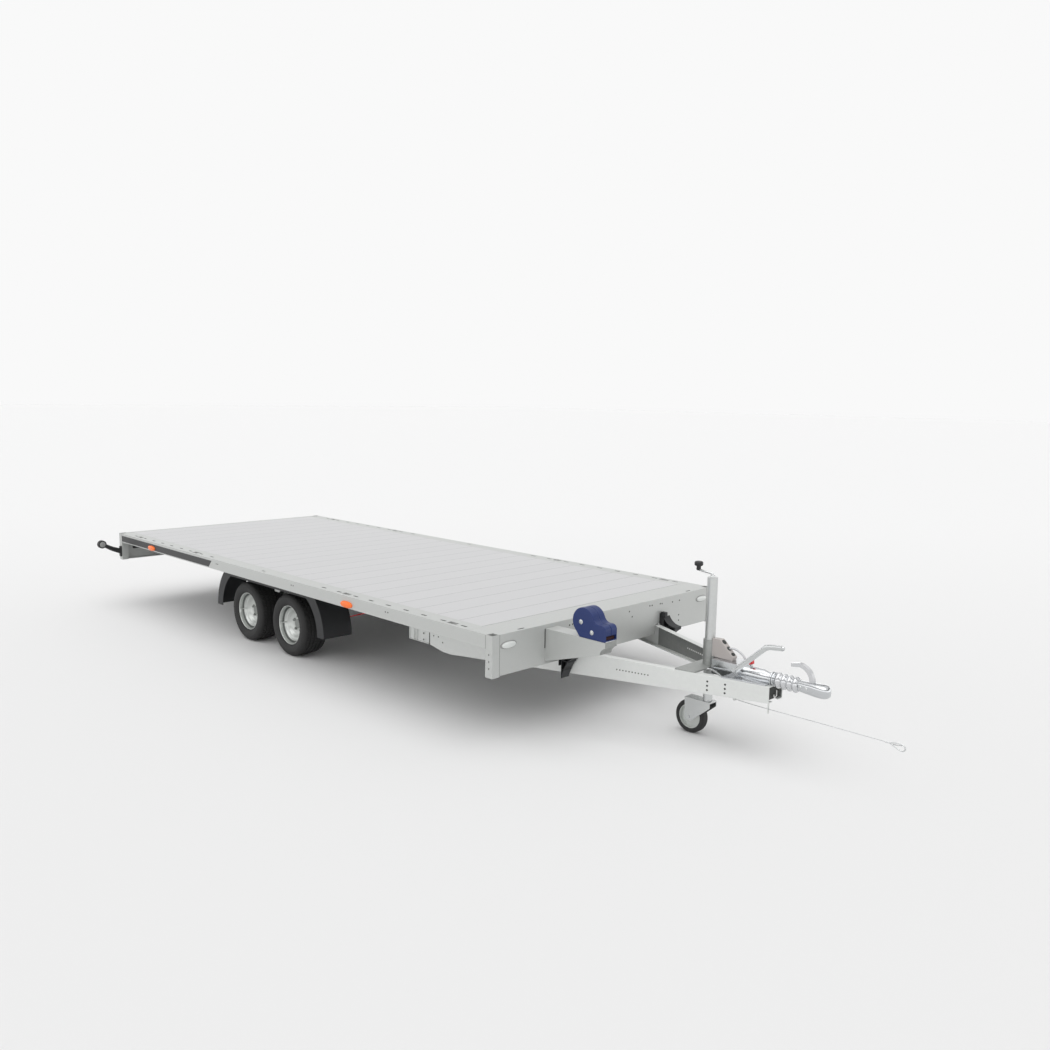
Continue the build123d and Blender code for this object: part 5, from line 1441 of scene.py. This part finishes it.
# ---------------------------------------------------------------- chocks
@dataclass
class Chocks:
    """Moulded wheel chocks that stand on end in black clips."""

    width: float = 70.0
    apex_lift: float = 44.0         # above the chock's middle
    apex_half: float = 10.0         # half its blunt edge
    bow: float = 0.42               # share of the depth where the curved sides' middles lie
    bow_upper: float = 10.0         # by how much the upper side is hollow there
    bow_lower: float = 14.0
    hollow: Pair = (0.86, 0.9)      # shares of the outline that lie inside the wall
    hollow_centre: Pair = (0.35, 6.0)       # share of the depth, and below the apex
    web_half: float = 3.0
    rib_shares: Place = (0.25, 0.5, 0.72)   # of the height
    rib_half: float = 2.5
    rib_reach: float = 14.0         # a rib ends where the wall is this near in height
    rib_inset: Pair = (6.0, 2.0)    # from the chock's back and from its sides
    plate: Place = (5.0, 58.0, 24.0)        # clip's plate: thickness, width, below the CAD clip's top
    tongue: Place = (40.0, 36.0, 14.0)      # clip's tongue: reach, middle inside the edge, half width
    tongue_drop: Pair = (52.0, 16.0)        # its bottom and top, below the CAD clip's top

    def build(self) -> None:
        """Moulds both chocks and their clips."""
        low, high = span("wheel_chocks")
        back, top, bottom = low.x, high.z, low.z
        outer, inner = self.outlines(low, high)
        shape = Shape()
        for way in WAYS:
            y0, y1 = sorted((way * high.y, way * (high.y - self.width)))
            loops = [shape.ring(side_view(outline, y))
                     for outline, y in ((outer, y0), (outer, y1), (inner, y1), (inner, y0))]
            shape.bridges(loops, looped=True)
            shape.prism(side_view(inner, (y0 + y1) / 2 - self.web_half), ACROSS * 2 * self.web_half)
            for share in self.rib_shares:
                z = bottom + (top - bottom) * share
                reach = max(x for x, height in inner if abs(height - z) < self.rib_reach)
                shape.block((back + self.rib_inset[0], y0 + self.rib_inset[1], z - self.rib_half),
                            (reach, y1 - self.rib_inset[1], z + self.rib_half))
        shape.piece("moulded_chocks", POLYPROPYLENE, "black_polypropylene", sharp=34.0,
                    stands_for="wheel_chocks")
        self.clips()

    def outlines(self, low: Vector, high: Vector) -> tuple[Outline, Outline]:
        """Side views of a chock's wall.

        Args:
            low: the chocks' lowest corner.
            high: their highest corner.

        Returns:
            The wall's outer and inner outlines.
        """
        back, apex, depth = low.x, high.x, high.x - low.x
        peak = (high.z + low.z) / 2 + self.apex_lift
        bow = back + depth * self.bow
        outer = bowed((back, high.z), (bow, (high.z + peak) / 2 - self.bow_upper),
                      (apex, peak + self.apex_half), 10)
        outer += bowed((apex, peak - self.apex_half), (bow, (low.z + peak) / 2 + self.bow_lower),
                       (back, low.z), 14)
        share, drop = self.hollow_centre
        return outer, shrunk(outer, (back + depth * share, peak - drop), self.hollow)

    def clips(self) -> None:
        """Moulds a plate and a tongue for each chock, in black that also stands as painted shade beside the
        chocks.
        """
        low, high = span("chock_holders")
        sheet, width, plate_drop = self.plate
        reach, middle, half = self.tongue
        bottom, top = self.tongue_drop
        shape = Shape()
        for way in WAYS:
            shape.block_on(way, (low.x, high.y - width, low.z), (low.x + sheet, high.y, high.z - plate_drop))
            shape.block_on(way, (low.x + sheet, high.y - middle - half, high.z - bottom),
                           (low.x + reach, high.y - middle + half, high.z - top))
        shape.piece("chock_clips", POLYPROPYLENE, "black_polypropylene", soften=2.0,
                    stands_for="chock_holders")


# ---------------------------------------------------------------- wheels
@dataclass
class Wheel:
    """One road wheel: treaded tyre, plain pressed steel rim, nuts, hub cap and valve.

    Sections are pairs of radius and distance outboard of the wheel's middle plane, except the tyre
    wall's, which are distance and radius.
    """

    corner: str                     # such as front_right
    blocks: int = 60                # tread blocks round each rib
    block_cuts: tuple[float, ...] = (0, 0.80, 0.84, 0.96)   # shares of the pitch: block's top, gap's floor
    skew: float = 5.0               # degrees that the blocks lean by at the tread's edges
    grooves: tuple[float, ...] = (-48.0, -17.0, 17.0, 48.0)
    groove_half: float = 4.5
    groove_depth: float = 6.5
    groove_slope: float = 1.2       # across a groove's wall
    outer_gap: float = 0.8          # depth of the cross gaps over that of the grooves
    inner_gap: float = 0.35
    tread_half: float = 80.0
    crown: float = 3.0              # the tread's drop towards its edges
    wall: Pairs = ((44, 128), (44, 144.2), (80, 145), (84, 148), (91.5, 149), (96.5, 153), (99, 158),
                   (98.7, 160), (102, 166), (105, 176), (105.9, 186), (105.3, 196), (105.7, 198),
                   (105.1, 200), (103, 209), (99, 218), (93, 225), (86.5, 229))
    lip: Pairs = ((146, 84), (147, 88), (145, 90), (142, 89.5), (139.5, 86), (138, 68), (136, 57),
                  (131, 50), (126, 51), (124, 57), (121.5, 55.5), (119, 49), (112, 42.5), (106, 40))
    barrel: Pairs = ((106, -34), (109, -44), (121, -54), (124, -70), (137, -78), (141, -89), (146, -90),
                     (147, -86), (143, -80), (130, -72), (127, -56), (113, -46), (110, -36), (110, 34),
                     (115, 38), (128, 46), (139, 46), (142, 56), (143, 80))
    bead_groove: Pairs = ((124.5, 56), (126.5, 52), (130.8, 51), (135.6, 57.8), (137.2, 66), (137, 62),
                          (134, 53), (128, 49.5))
    dish: Pairs = ((103, 36), (98, 28), (90, 19), (80, 12.5), (72, 10), (30, 10))
    disc_edge: Pairs = ((108, 40), (108, 34))
    disc_sheet: float = 5.0
    stud_circle: float = 56.0
    stud_count: int = 5
    stud_start: float = 14.0        # degrees from forward towards up
    nut: Place = (19.0, 10.0, 12.0)         # across flats, height, washer
    nut_sink: float = 0.5
    cap_radius: float = 24.0
    cap_face: float = 21.0
    valve: Pairs = ((114, 46), (120, 58), (124, 72), (126, 84))
    valve_turn: float = 182.0
    valve_radius: float = 5.0

    def __post_init__(self) -> None:
        """Reads the wheel's place from its CAD tyre."""
        low, high = span(f"tyre_{self.corner}")
        self.centre = (low + high) / 2
        self.radius = (high.z - low.z) / 2
        self.out = ACROSS * SIDES[self.corner.split("_")[1]]
        self.body = f"wheel_{self.corner}"

    def build(self) -> None:
        """Makes the tyre, rim and nuts, and dresses the hub."""
        self.tyre()
        self.rim()
        self.nuts()
        dress(HUB, f"hub_{self.corner}")

    def spot(self, radius: float, turn: float, out: float) -> Vector:
        """A point at a radius, an angle in degrees from forward towards up, and a distance outboard."""
        angle = math.radians(turn)
        return self.centre + self.out * out + Vector((radius * math.cos(angle), 0, radius * math.sin(angle)))

    def level(self, y: float) -> float:
        """The tread's radius at a distance from its middle."""
        return self.radius - self.crown * (y / self.tread_half) ** 2

    def tread(self) -> list[Place]:
        """Points across the tread, rib by rib.

        Returns:
            For each point its distance from the middle, its radius, and how far a cross gap cuts in.
        """
        points = []
        edges = [-self.tread_half, *[groove + side * self.groove_half for groove in self.grooves
                                     for side in (-1, 1)], self.tread_half]
        for number in range(0, len(edges), 2):
            left, right = edges[number], edges[number + 1]
            cut = self.groove_depth * (self.outer_gap if number in (0, len(edges) - 2) else self.inner_gap)
            for y in (left, (left + right) / 2, right):
                points.append((y, self.level(y), 0.0 if abs(abs(y) - self.tread_half) < TINY else cut))
            if number < len(edges) - 2:
                bottom = self.level(right) - self.groove_depth
                points += [(right + self.groove_slope, bottom, 0.0),
                           (edges[number + 2] - self.groove_slope, bottom, 0.0)]
        return points

    def tyre(self) -> None:
        """Moulds the tyre: bead, rounded wall with two fine rings, shoulder and tread."""
        left = [(-y, radius, 0.0) for y, radius in self.wall]
        right = [(y, radius, 0.0) for y, radius in reversed(self.wall)]
        turns = [(block + share) * 360 / self.blocks for block in range(self.blocks)
                 for share in self.block_cuts]
        shape = Shape()
        rings = []
        for y, radius, cut in left + self.tread() + right:
            skew = self.skew * y / self.tread_half if abs(y) <= self.tread_half else 0.0
            rings.append(shape.ring(
                self.spot(radius - (cut if number % len(self.block_cuts) > 1 else 0.0), turn + skew, y)
                for number, turn in enumerate(turns)))
        shape.bridges(rings, looped=True)
        shape.piece(f"treaded_tyre_{self.corner}", TYRE_RUBBER, "tyre_rubber", self.body, sharp=32.0,
                    stands_for=f"tyre_{self.corner}")

    def rim(self) -> None:
        """Rolls the barrel with its lip and bead groove, presses the plain disc and sets the valve."""
        shape, groove = Shape(), Shape()
        shape.turned(self.lip + self.barrel, self.centre, self.out, 72, looped=True)
        start, end = self.disc_edge
        back = [(radius, out - self.disc_sheet) for radius, out in reversed(self.dish)]
        shape.turned([start, *self.dish, *back, end], self.centre, self.out, 72, looped=True)
        valve = [self.spot(radius, self.valve_turn, out) for radius, out in self.valve]
        shape.swept(smooth_line(valve, 4), self.valve_radius, 12)
        shape.piece(f"pressed_rim_{self.corner}", SILVER, "silver_rim", self.body, sharp=40.0,
                    stands_for=f"rim_{self.corner}")
        # A ring laid in the bead groove, darker as painted shade.
        groove.turned(self.bead_groove, self.centre, self.out, 72, looped=True)
        groove.piece(f"bead_groove_{self.corner}", GROOVE, "silver_rim", self.body, sharp=ROUND)

    def nuts(self) -> None:
        """Sets the wheel nuts on their studs and presses the grease cap on the hub."""
        nuts, cap = Shape(), Shape()
        face = self.dish[-1][1]
        for number in range(self.stud_count):
            turn = self.stud_start + 360.0 * number / self.stud_count
            nuts.nut(self.spot(self.stud_circle, turn, face - self.nut_sink), self.out, *self.nut)
        nuts.piece(f"wheel_nuts_{self.corner}", AXLE_STEEL, "cast_hub", self.body, sharp=CRISP)
        radius, top = self.cap_radius, self.cap_face
        cap.turned([(radius + 4, 0), (radius + 4, face + 1), (radius, face + 3), (radius - 0.5, top - 2),
                    (radius - 3, top), (0, top)], self.centre, self.out, 40)
        cap.piece(f"grease_cap_{self.corner}", HUB, "cast_hub", self.body, sharp=FIRM)


class RunningGear:
    """Axles, mudguards and their hangers, and the four wheels."""

    def build(self) -> None:
        """Dresses the axles and guards, and builds the wheels."""
        dress(AXLE_STEEL, "axle_front", "axle_rear")
        dress(POLYPROPYLENE, "mudguard_left", "mudguard_right")
        dress(SHEET, "mudguard_hangers")
        for axle in AXLES:
            for side in SIDES:
                Wheel(f"{axle}_{side}").build()


# ---------------------------------------------------------------- frame and drawbar
@dataclass
class Drawbar:
    """Tapering beams with their punched holes and bolts, the transom and the frame under the deck."""

    fold: float = 1.5
    nose_half: float = 73.0         # from the centre line to a beam's outer face at its nose
    slope: float = 0.342            # that face's spread per millimetre to the rear
    wall: float = 5.6               # past the web's inner face
    hole_count: int = 11
    holes_from: Pair = (2114.0, 385.0)      # rear hole, along the trailer and up
    holes_to: Pair = (2294.0, 379.0)
    hole_radius: float = 4.2
    hole_lift: float = 0.8
    daylight: float = 1.3           # a hole's size inside over that outside
    bolt_rows: Places = ((2622, 394, 344), (2717, 391, 342))    # along, top, bottom
    bolt_share: float = 1.4         # a bolt's size over a hole's
    bolt_lift: float = 1.5
    tail_bolts: Pairs = ((805, 415), (805, 373), (908, 418), (956, 420), (997, 390))
    tail_share: float = 1.2
    # The inner shade is a thin sheet of painted shade laid over each beam's inner face.
    inner_shade: Place = (328.0, 444.0, 402.0)    # bottom, top at its rear, top at its front
    inner_shade_ends: Pair = (2.0, 6.0)   # ahead of the front panel, and behind the nose
    inner_shade_sheet: float = 0.6
    joint: Place = (-5.0, 2.0, 352.0)       # from and to, past the tail, and its foot
    ribs: Pair = (706.0, 735.0)     # places of the transom's ribs along the trailer
    rib: Place = (3.0, 4.0, 354.0)          # half thickness, height over the face, foot
    nose_shade: Place = (26.0, 22.0, 396.0)         # behind the nose from, to, and its top
    hook_line: Pairs = ((30, 372), (30, 344), (20, 336), (6, 338), (2, 352))
    hook_place: float = 12.0        # behind the nose
    hook_radius: float = 3.0
    line: Places = ((-420, -560, 300), (-250, -600, 316), (-150, -612, 344), (-20, -612, 384),
                    (30, -590, 400))
    line_radius: float = 4.0

    def build(self) -> None:
        """Dresses the frame and makes the beams and their bolts."""
        dress(FRAME_ZINC, "chassis_rails", "cross_members", "drawbar_transom", "cable_guides")
        self.low, self.high = span("drawbar_beam_left")
        for side in SIDES:
            node = f"drawbar_beam_{side}"
            round_edges(node, f"folded_{node}", FRAME_ZINC, "galvanised_frame", self.fold)
        self.holes()
        self.tails()
        self.brake_line()
        self.nose()

    def web(self, x: float, z: float, way: float) -> Vector:
        """The point on a beam's outer face at a place along the trailer and a height."""
        return Vector((x, way * (self.nose_half + self.slope * (self.high.x - x)), z))

    def holes(self) -> None:
        """Paints the punched rows and bolts: dark discs of painted shade outside, bright discs of painted
        daylight inside, and a sheet of painted shade on each inner face.
        """
        shade, light, inner_shade = Shape(), Shape(), Shape()
        bottom, rear_top, front_top = self.inner_shade
        rear, front = span("front_panel")[1].x + self.inner_shade_ends[0], self.high.x - self.inner_shade_ends[1]
        for way in WAYS:
            out = Vector((self.slope, way, 0)).normalized()
            corners = [self.web(x, z, way) - out * self.wall for x, z in
                       ((rear, bottom), (front, bottom), (front, front_top), (rear, rear_top))]
            inner_shade.prism(corners, -out * self.inner_shade_sheet)
            for number in range(self.hole_count):
                share = number / (self.hole_count - 1)
                x, z = [start + (end - start) * share for start, end in zip(self.holes_from, self.holes_to)]
                place = self.web(x, z, way)
                shade.rivet(place, out, self.hole_radius, self.hole_lift)
                light.rivet(place - out * self.wall, -out, self.hole_radius * self.daylight,
                            2 * self.hole_lift)
            for x, top, foot in self.bolt_rows:
                for z in (top, (top + foot) / 2, foot):
                    shade.rivet(self.web(x, z, way), out, self.hole_radius * self.bolt_share,
                                self.bolt_lift)
        shade.piece("drawbar_holes_outer", PAINTED_SHADE, "galvanised_frame")
        # Bright discs of painted daylight, in the white plate finish.
        light.piece("drawbar_holes_inner", PLATE, "galvanised_frame")
        inner_shade.piece("drawbar_inner_faces", WEB_SHADE, "galvanised_frame")

    def tails(self) -> None:
        """Adds what shows on the beams' tails: bolts and the joint to the transom, both dark with painted
        shade, and the transom's ribs.
        """
        bolts, joints, ribs = Shape(), Shape(), Shape()
        tail, face, top = self.low.x, self.high.y, self.high.z
        rear, front, joint_foot = self.joint
        half, height, rib_foot = self.rib
        for way in WAYS:
            for x, z in self.tail_bolts:
                bolts.rivet(Vector((x, way * face, z)), ACROSS * way, self.hole_radius * self.tail_share,
                            self.bolt_lift)
            joints.block_on(way, (tail + rear, face, joint_foot), (tail + front, face + 1, top))
            for x in self.ribs:
                ribs.block_on(way, (x - half, face, rib_foot), (x + half, face + height, top))
        bolts.piece("drawbar_tail_bolts", PAINTED_SHADE, "galvanised_frame")
        joints.piece("drawbar_tail_joints", PAINTED_SHADE, "galvanised_frame")
        ribs.piece("transom_ribs", FRAME_ZINC, "galvanised_frame", soften=1.0)

    def nose(self) -> None:
        """Closes the space between the beams' noses with a dark sheet of painted shade, and hangs a small
        hook there.
        """
        shape, hook = Shape(), Shape()
        half = self.nose_half - self.wall - 1
        rear, front, top = self.nose_shade
        shape.block((self.high.x - rear, -half, self.low.z + self.wall), (self.high.x - front, half, top))
        shape.piece("drawbar_nose_shade", PAINTED_SHADE, "galvanised_frame")
        line = [Vector((self.high.x - self.hook_place, y, z)) for y, z in self.hook_line]
        hook.swept(smooth_line(line, 5), self.hook_radius, 10)
        hook.piece("drawbar_nose_hook", PLATE, "galvanised_frame", sharp=ROUND)

    def brake_line(self) -> None:
        """Runs the thin red brake line under the deck, ahead of the front wheels."""
        shape = Shape()
        shape.swept(smooth_line([Vector(place) for place in self.line], 6), self.line_radius, 10)
        shape.piece("brake_line", RED_NYLON, "red_plastic", sharp=ROUND)


# ---------------------------------------------------------------- overrun brake and coupling
@dataclass
class Overrun:
    """Overrun brake housing, bellows, coupling head and their levers."""

    housing_fold: float = 2.5
    handle_fold: float = 5.0
    neck_rings: Pair = (28.0, 14.0)         # their rear faces, behind the housing's front
    neck_ring: Pairs = ((30, 0), (39, 0), (40.5, 2), (40.5, 6), (39, 8), (30, 8))
    gusset_line: Pairs = ((2536, 492), (2536, 596), (2590, 598), (2680, 510), (2674, 489))
    gusset_half: float = 22.0
    openings: Pairs = ((0.16, 15), (0.52, 14), (0.84, 11))    # share of the slope, half length
    opening_half: float = 16.5
    opening_lift: float = 0.8
    hose_line: Pairs = ((2600, 520), (2631, 548), (2673, 555), (2712, 540), (2737, 518), (2748, 484))
    hose_y: float = 6.0
    hose_radius: float = 6.5
    rod_line: Places = ((2466, -130, 424), (2511, -99, 430), (2559, -80, 432), (2616, -96, 431),
                        (2706, -148, 420))
    rod_radius: float = 5.5
    catch_half: Pair = (15.0, 18.0)         # half its diagonals, along and up before it tilts
    catch_tilt: Pair = (0.8, 0.5)           # a corner's offset along its own and the other direction
    stem: Place = (5.0, 8.0, 23.0)          # half sizes along and across, and its top below the catch's
    folds: int = 4
    fold_steps: int = 10
    fold_depth: float = 12.0
    fold_power: float = 0.7         # below 1 for broad ridges and narrow grooves
    bellows_wall: float = 17.0
    head_sections: tuple[tuple[float, ...], ...] = (
        (3062.0, 24.0, 414.0, 466.0), (3090.0, 27.0, 411.0, 469.0), (3130.0, 31.0, 407.0, 471.0),
        (3165.0, 35.0, 404.0, 473.0), (3195.0, 40.5, 403.0, 474.0), (3222.0, 42.0, 403.0, 474.0),
        (3240.0, 37.0, 404.0, 471.0), (3252.0, 27.0, 408.0, 462.0), (3258.0, 15.0, 415.0, 450.0),
        (3260.0, 5.0, 424.0, 440.0))        # along, half width, bottom, top
    head_power: float = 3.2         # its sections' squareness
    ball_x: float = 3218.0
    ball_radius: float = 25.5
    cup: Pairs = ((0, -5), (1, -5), (1, 22), (0.85, 34), (0.5, 43), (0, 47))
    neck_nuts: Pairs = ((3104, 27.5), (3140, 31.5))    # along, and off the middle
    neck_nut: Place = (15.0, 7.0, 9.5)      # across flats, height, washer
    neck_nut_z: float = 440.0
    lever_pivot: float = 14.5       # inside the CAD lever's rear lower corner
    lever_end: Pair = (2.0, 13.0)   # inside its front upper corner
    lever_grip: Pair = (95.0, 10.0)         # from the end back and down to the bend
    lever_bend: Pair = (30.0, 8.0)          # where the bend starts and eases, from its corner
    lever_radius: float = 15.5
    lever_flat: float = 0.42
    lever_eye: Pairs = ((0, -5.8), (14.4, -5.8), (14.4, 5.8), (0, 5.8))
    lever_knob: Pairs = ((0, -10), (8, -9), (12, -4), (13, 0), (12, 4), (8, 9), (0, 10))

    def build(self) -> None:
        """Makes the housing, bellows, head, handle and catch."""
        self.front = span("overrun_housing")[1].x
        self.bellows_low, self.bellows_high = span("overrun_bellows")
        self.axis_z = (self.bellows_low.z + self.bellows_high.z) / 2
        self.housing()
        self.bellows()
        self.head()
        round_edges("coupling_handle", "coupling_grip", PALE_RUBBER, "polished_casting", self.handle_fold,
                    rounds=4)
        self.catch()
        self.lever()
        self.gusset()
        self.hoses()

    def housing(self) -> None:
        """Softens the cast housing and turns neck rings at its front."""
        round_edges("overrun_housing", "cast_overrun_housing", POLISHED, "polished_casting",
                    self.housing_fold)
        neck = Shape()
        for behind in self.neck_rings:
            neck.turned(self.neck_ring, Vector((self.front - behind, 0, self.axis_z)), ALONG, looped=True)
        neck.piece("overrun_neck_rings", POLISHED, "polished_casting", sharp=FIRM)

    def gusset(self) -> None:
        """Folds the box that stays the jockey tube to the housing, with its openings painted as dark shade on
        its slope.
        """
        shape, dark = Shape(), Shape()
        half = self.gusset_half
        shape.prism(side_view(self.gusset_line, -half), ACROSS * 2 * half)
        shape.piece("jockey_stay", STAY_PAINT, "galvanised_sheet", soften=3.0, rounds=3)
        top, foot = side_view(self.gusset_line[2:4], 0)
        down = (foot - top).normalized()
        out = Vector((-down.z, 0, down.x))
        for share, size in self.openings:
            dark.dome(top + (foot - top) * share, down, ACROSS, out, (size, self.opening_half),
                      self.opening_lift)
        dark.piece("jockey_stay_openings", PAINTED_SHADE, "galvanised_sheet")

    def hoses(self) -> None:
        """Bends the pale hose over the housing and the bright rod beside it."""
        hose, rod = Shape(), Shape()
        hose.swept(smooth_line(side_view(self.hose_line, self.hose_y), 8), self.hose_radius, 14)
        hose.piece("overrun_hose", PALE_RUBBER, "pale_rubber", sharp=ROUND)
        rod.swept(smooth_line([Vector(place) for place in self.rod_line], 8), self.rod_radius, 12)
        rod.piece("brake_rod", BRIGHT_STEEL, "lever_steel", sharp=ROUND)

    def catch(self) -> None:
        """Moulds the red catch as a small tilted block on a bright stem."""
        low, high = span("brake_release_catch")
        middle = (low + high) / 2
        along, up = self.catch_half
        own, other = self.catch_tilt
        outline = [(middle.x + x * own + z * other, high.z - along - 2 + z * own - x * other)
                   for x, z in ((along, 0), (0, up), (-along, 0), (0, -up))]
        shape, stem = Shape(), Shape()
        shape.prism(side_view(outline, low.y + 2), ACROSS * (high.y - low.y - 4))
        half_x, half_y, drop = self.stem
        stem.block((middle.x - half_x, middle.y - half_y, low.z),
                   (middle.x + half_x, middle.y + half_y, high.z - drop))
        stem.piece("release_catch_stem", BRIGHT_STEEL, "lever_steel", soften=1.0)
        shape.piece("release_catch", RED_NYLON, "red_plastic", soften=1.5,
                    stands_for="brake_release_catch")

    def bellows(self) -> None:
        """Moulds the bellows' even folds."""
        low, high = self.bellows_low, self.bellows_high
        ridge, length = (high.z - low.z) / 2, high.x - low.x
        count = self.folds * self.fold_steps
        profile = []
        for step in range(count + 1):
            wave = (1 - math.cos(2 * math.pi * step / self.fold_steps)) / 2
            profile.append((ridge - self.fold_depth * (1 - wave ** self.fold_power), length * step / count))
        inside = ridge - self.bellows_wall
        shape = Shape()
        shape.turned(profile + [(inside, length), (inside, 0)], Vector((low.x, 0, self.axis_z)), ALONG,
                     looped=True)
        shape.piece("moulded_bellows", SHEEN_RUBBER, "pale_rubber", body_of("overrun_bellows"),
                    sharp=ROUND, stands_for="overrun_bellows")

    def head(self) -> None:
        """Forges the coupling head round its ball cup, with bolts through its neck."""
        shape, cup, bolts = Shape(), Shape(), Shape()
        sections = []
        for x, half, bottom, top in self.head_sections:
            centre = Vector((x, 0, (bottom + top) / 2))
            sections.append([centre + ACROSS * y + UP * z
                             for y, z in rounded_box(half, (top - bottom) / 2, 48, self.head_power)])
        shape.lofted(sections)
        cup.turned([(self.ball_radius * share, height) for share, height in self.cup],
                   Vector((self.ball_x, 0, span("coupling_head")[0].z)), UP, 40)
        body = body_of("coupling_head")
        shape.piece("forged_coupling_head", POLISHED, "polished_casting", body, drill=cup, sharp=FIRM,
                    stands_for="coupling_head")
        for x, half in self.neck_nuts:
            for way in WAYS:
                bolts.nut(Vector((x, way * half, self.neck_nut_z)), ACROSS * way, *self.neck_nut)
        bolts.piece("coupling_bolts", BRIGHT_STEEL, "lever_steel", body, sharp=CRISP)

    def lever(self) -> None:
        """Bends the handbrake lever's flattened tube."""
        low, high = span("handbrake_lever")
        middle = (low.y + high.y) / 2
        pivot = Vector((low.x + self.lever_pivot, middle, low.z + self.lever_pivot))
        end = Vector((high.x - self.lever_end[0], middle, high.z - self.lever_end[1]))
        bend = end - ALONG * self.lever_grip[0] - UP * self.lever_grip[1]
        down, forward = (pivot - bend).normalized(), (end - bend).normalized()
        start, ease = self.lever_bend
        line = [pivot, bend + down * start, bend + (down + forward) * ease, bend + forward * start, end]
        shape = Shape()
        shape.swept(smooth_line(line, 8), self.lever_radius, 20, broad=UP, flat=self.lever_flat)
        shape.turned(self.lever_eye, pivot, ACROSS, 32)
        shape.turned(self.lever_knob, end, ACROSS, 32)
        shape.piece("handbrake_bar", BRIGHT_STEEL, "lever_steel", "handbrake", stands_for="handbrake_lever")


@dataclass
class JockeyWheel:
    """Jockey wheel with its clamp, tube, crank and castor."""

    cap: Pairs = ((0, 0), (15.5, 0), (15.5, 9), (13, 13), (0, 14))
    crank_foot: Pairs = ((0, 10), (-3, 17), (-14, 21))    # from the tube's top
    crank_end: Pairs = ((20, -13), (4, -10), (0, 0))    # from the crank's top at the knob
    crank_radius: float = 6.0
    knob_stem: Pairs = ((0, -14), (11, -14), (13.5, -8))    # radius, above the CAD knob's foot
    knob: Pairs = ((12.5, -28), (20, -27), (25, -22), (25.5, -8), (22, -2), (16, 0),
                   (0, 0))  # radius, above its top

    def build(self) -> None:
        """Dresses the tubes and bracket and bends the crank."""
        dress(TUBE_ZINC, "jockey_outer_tube")
        dress(BRIGHT_STEEL, "jockey_inner_tube", "jockey_fork", "jockey_clamp_handle")
        dress(AXLE_STEEL, "jockey_bracket")
        dress(TYRE_RUBBER, "jockey_wheel_tyre")
        dress(SILVER, "jockey_wheel_rim")
        self.crank()

    def crank(self) -> None:
        """Bends the crank's rod from the tube's cap out to the knob."""
        knob_low, knob_high = span("jockey_crank_knob")
        tube_low, tube_high = span("jockey_outer_tube")
        foot = Vector(((tube_low.x + tube_high.x) / 2, 0, tube_high.z))
        end = Vector(((knob_low.x + knob_high.x) / 2, 0, span("jockey_crank")[1].z))
        line = [foot + place for place in side_view(self.crank_foot, 0)]
        line += [end + place for place in side_view(self.crank_end, 0)]
        rod, knob = Shape(), Shape()
        rod.turned(self.cap, foot, UP, 32)
        rod.swept(smooth_line(line, 6), self.crank_radius, 14)
        rod.piece("jockey_crank_rod", BRIGHT_STEEL, "zinc_tube", body_of("jockey_crank"),
                  stands_for="jockey_crank")
        profile = [(radius, knob_low.z + lift) for radius, lift in self.knob_stem]
        profile += [(radius, knob_high.z + lift) for radius, lift in self.knob]
        knob.turned(profile, Vector((end.x, 0, 0)), UP, 32)
        knob.piece("jockey_knob", BLACK_NYLON, "black_polypropylene", body_of("jockey_crank_knob"),
                   sharp=FIRM, stands_for="jockey_crank_knob")


def main() -> None:
    """Builds the studio, the cable and then every sub-assembly in order."""
    logging.basicConfig(level=logging.INFO, format="%(name)s %(message)s")
    for part in (Studio, BreakawayCable, Deck, FrontPanel, MarkerLamps, RearLamps, Winch, Chocks,
                 RunningGear, Drawbar, Overrun, JockeyWheel):
        LOG.info("building %s", part.__name__)
        part().build()


if __name__ == "__main__":
    main()
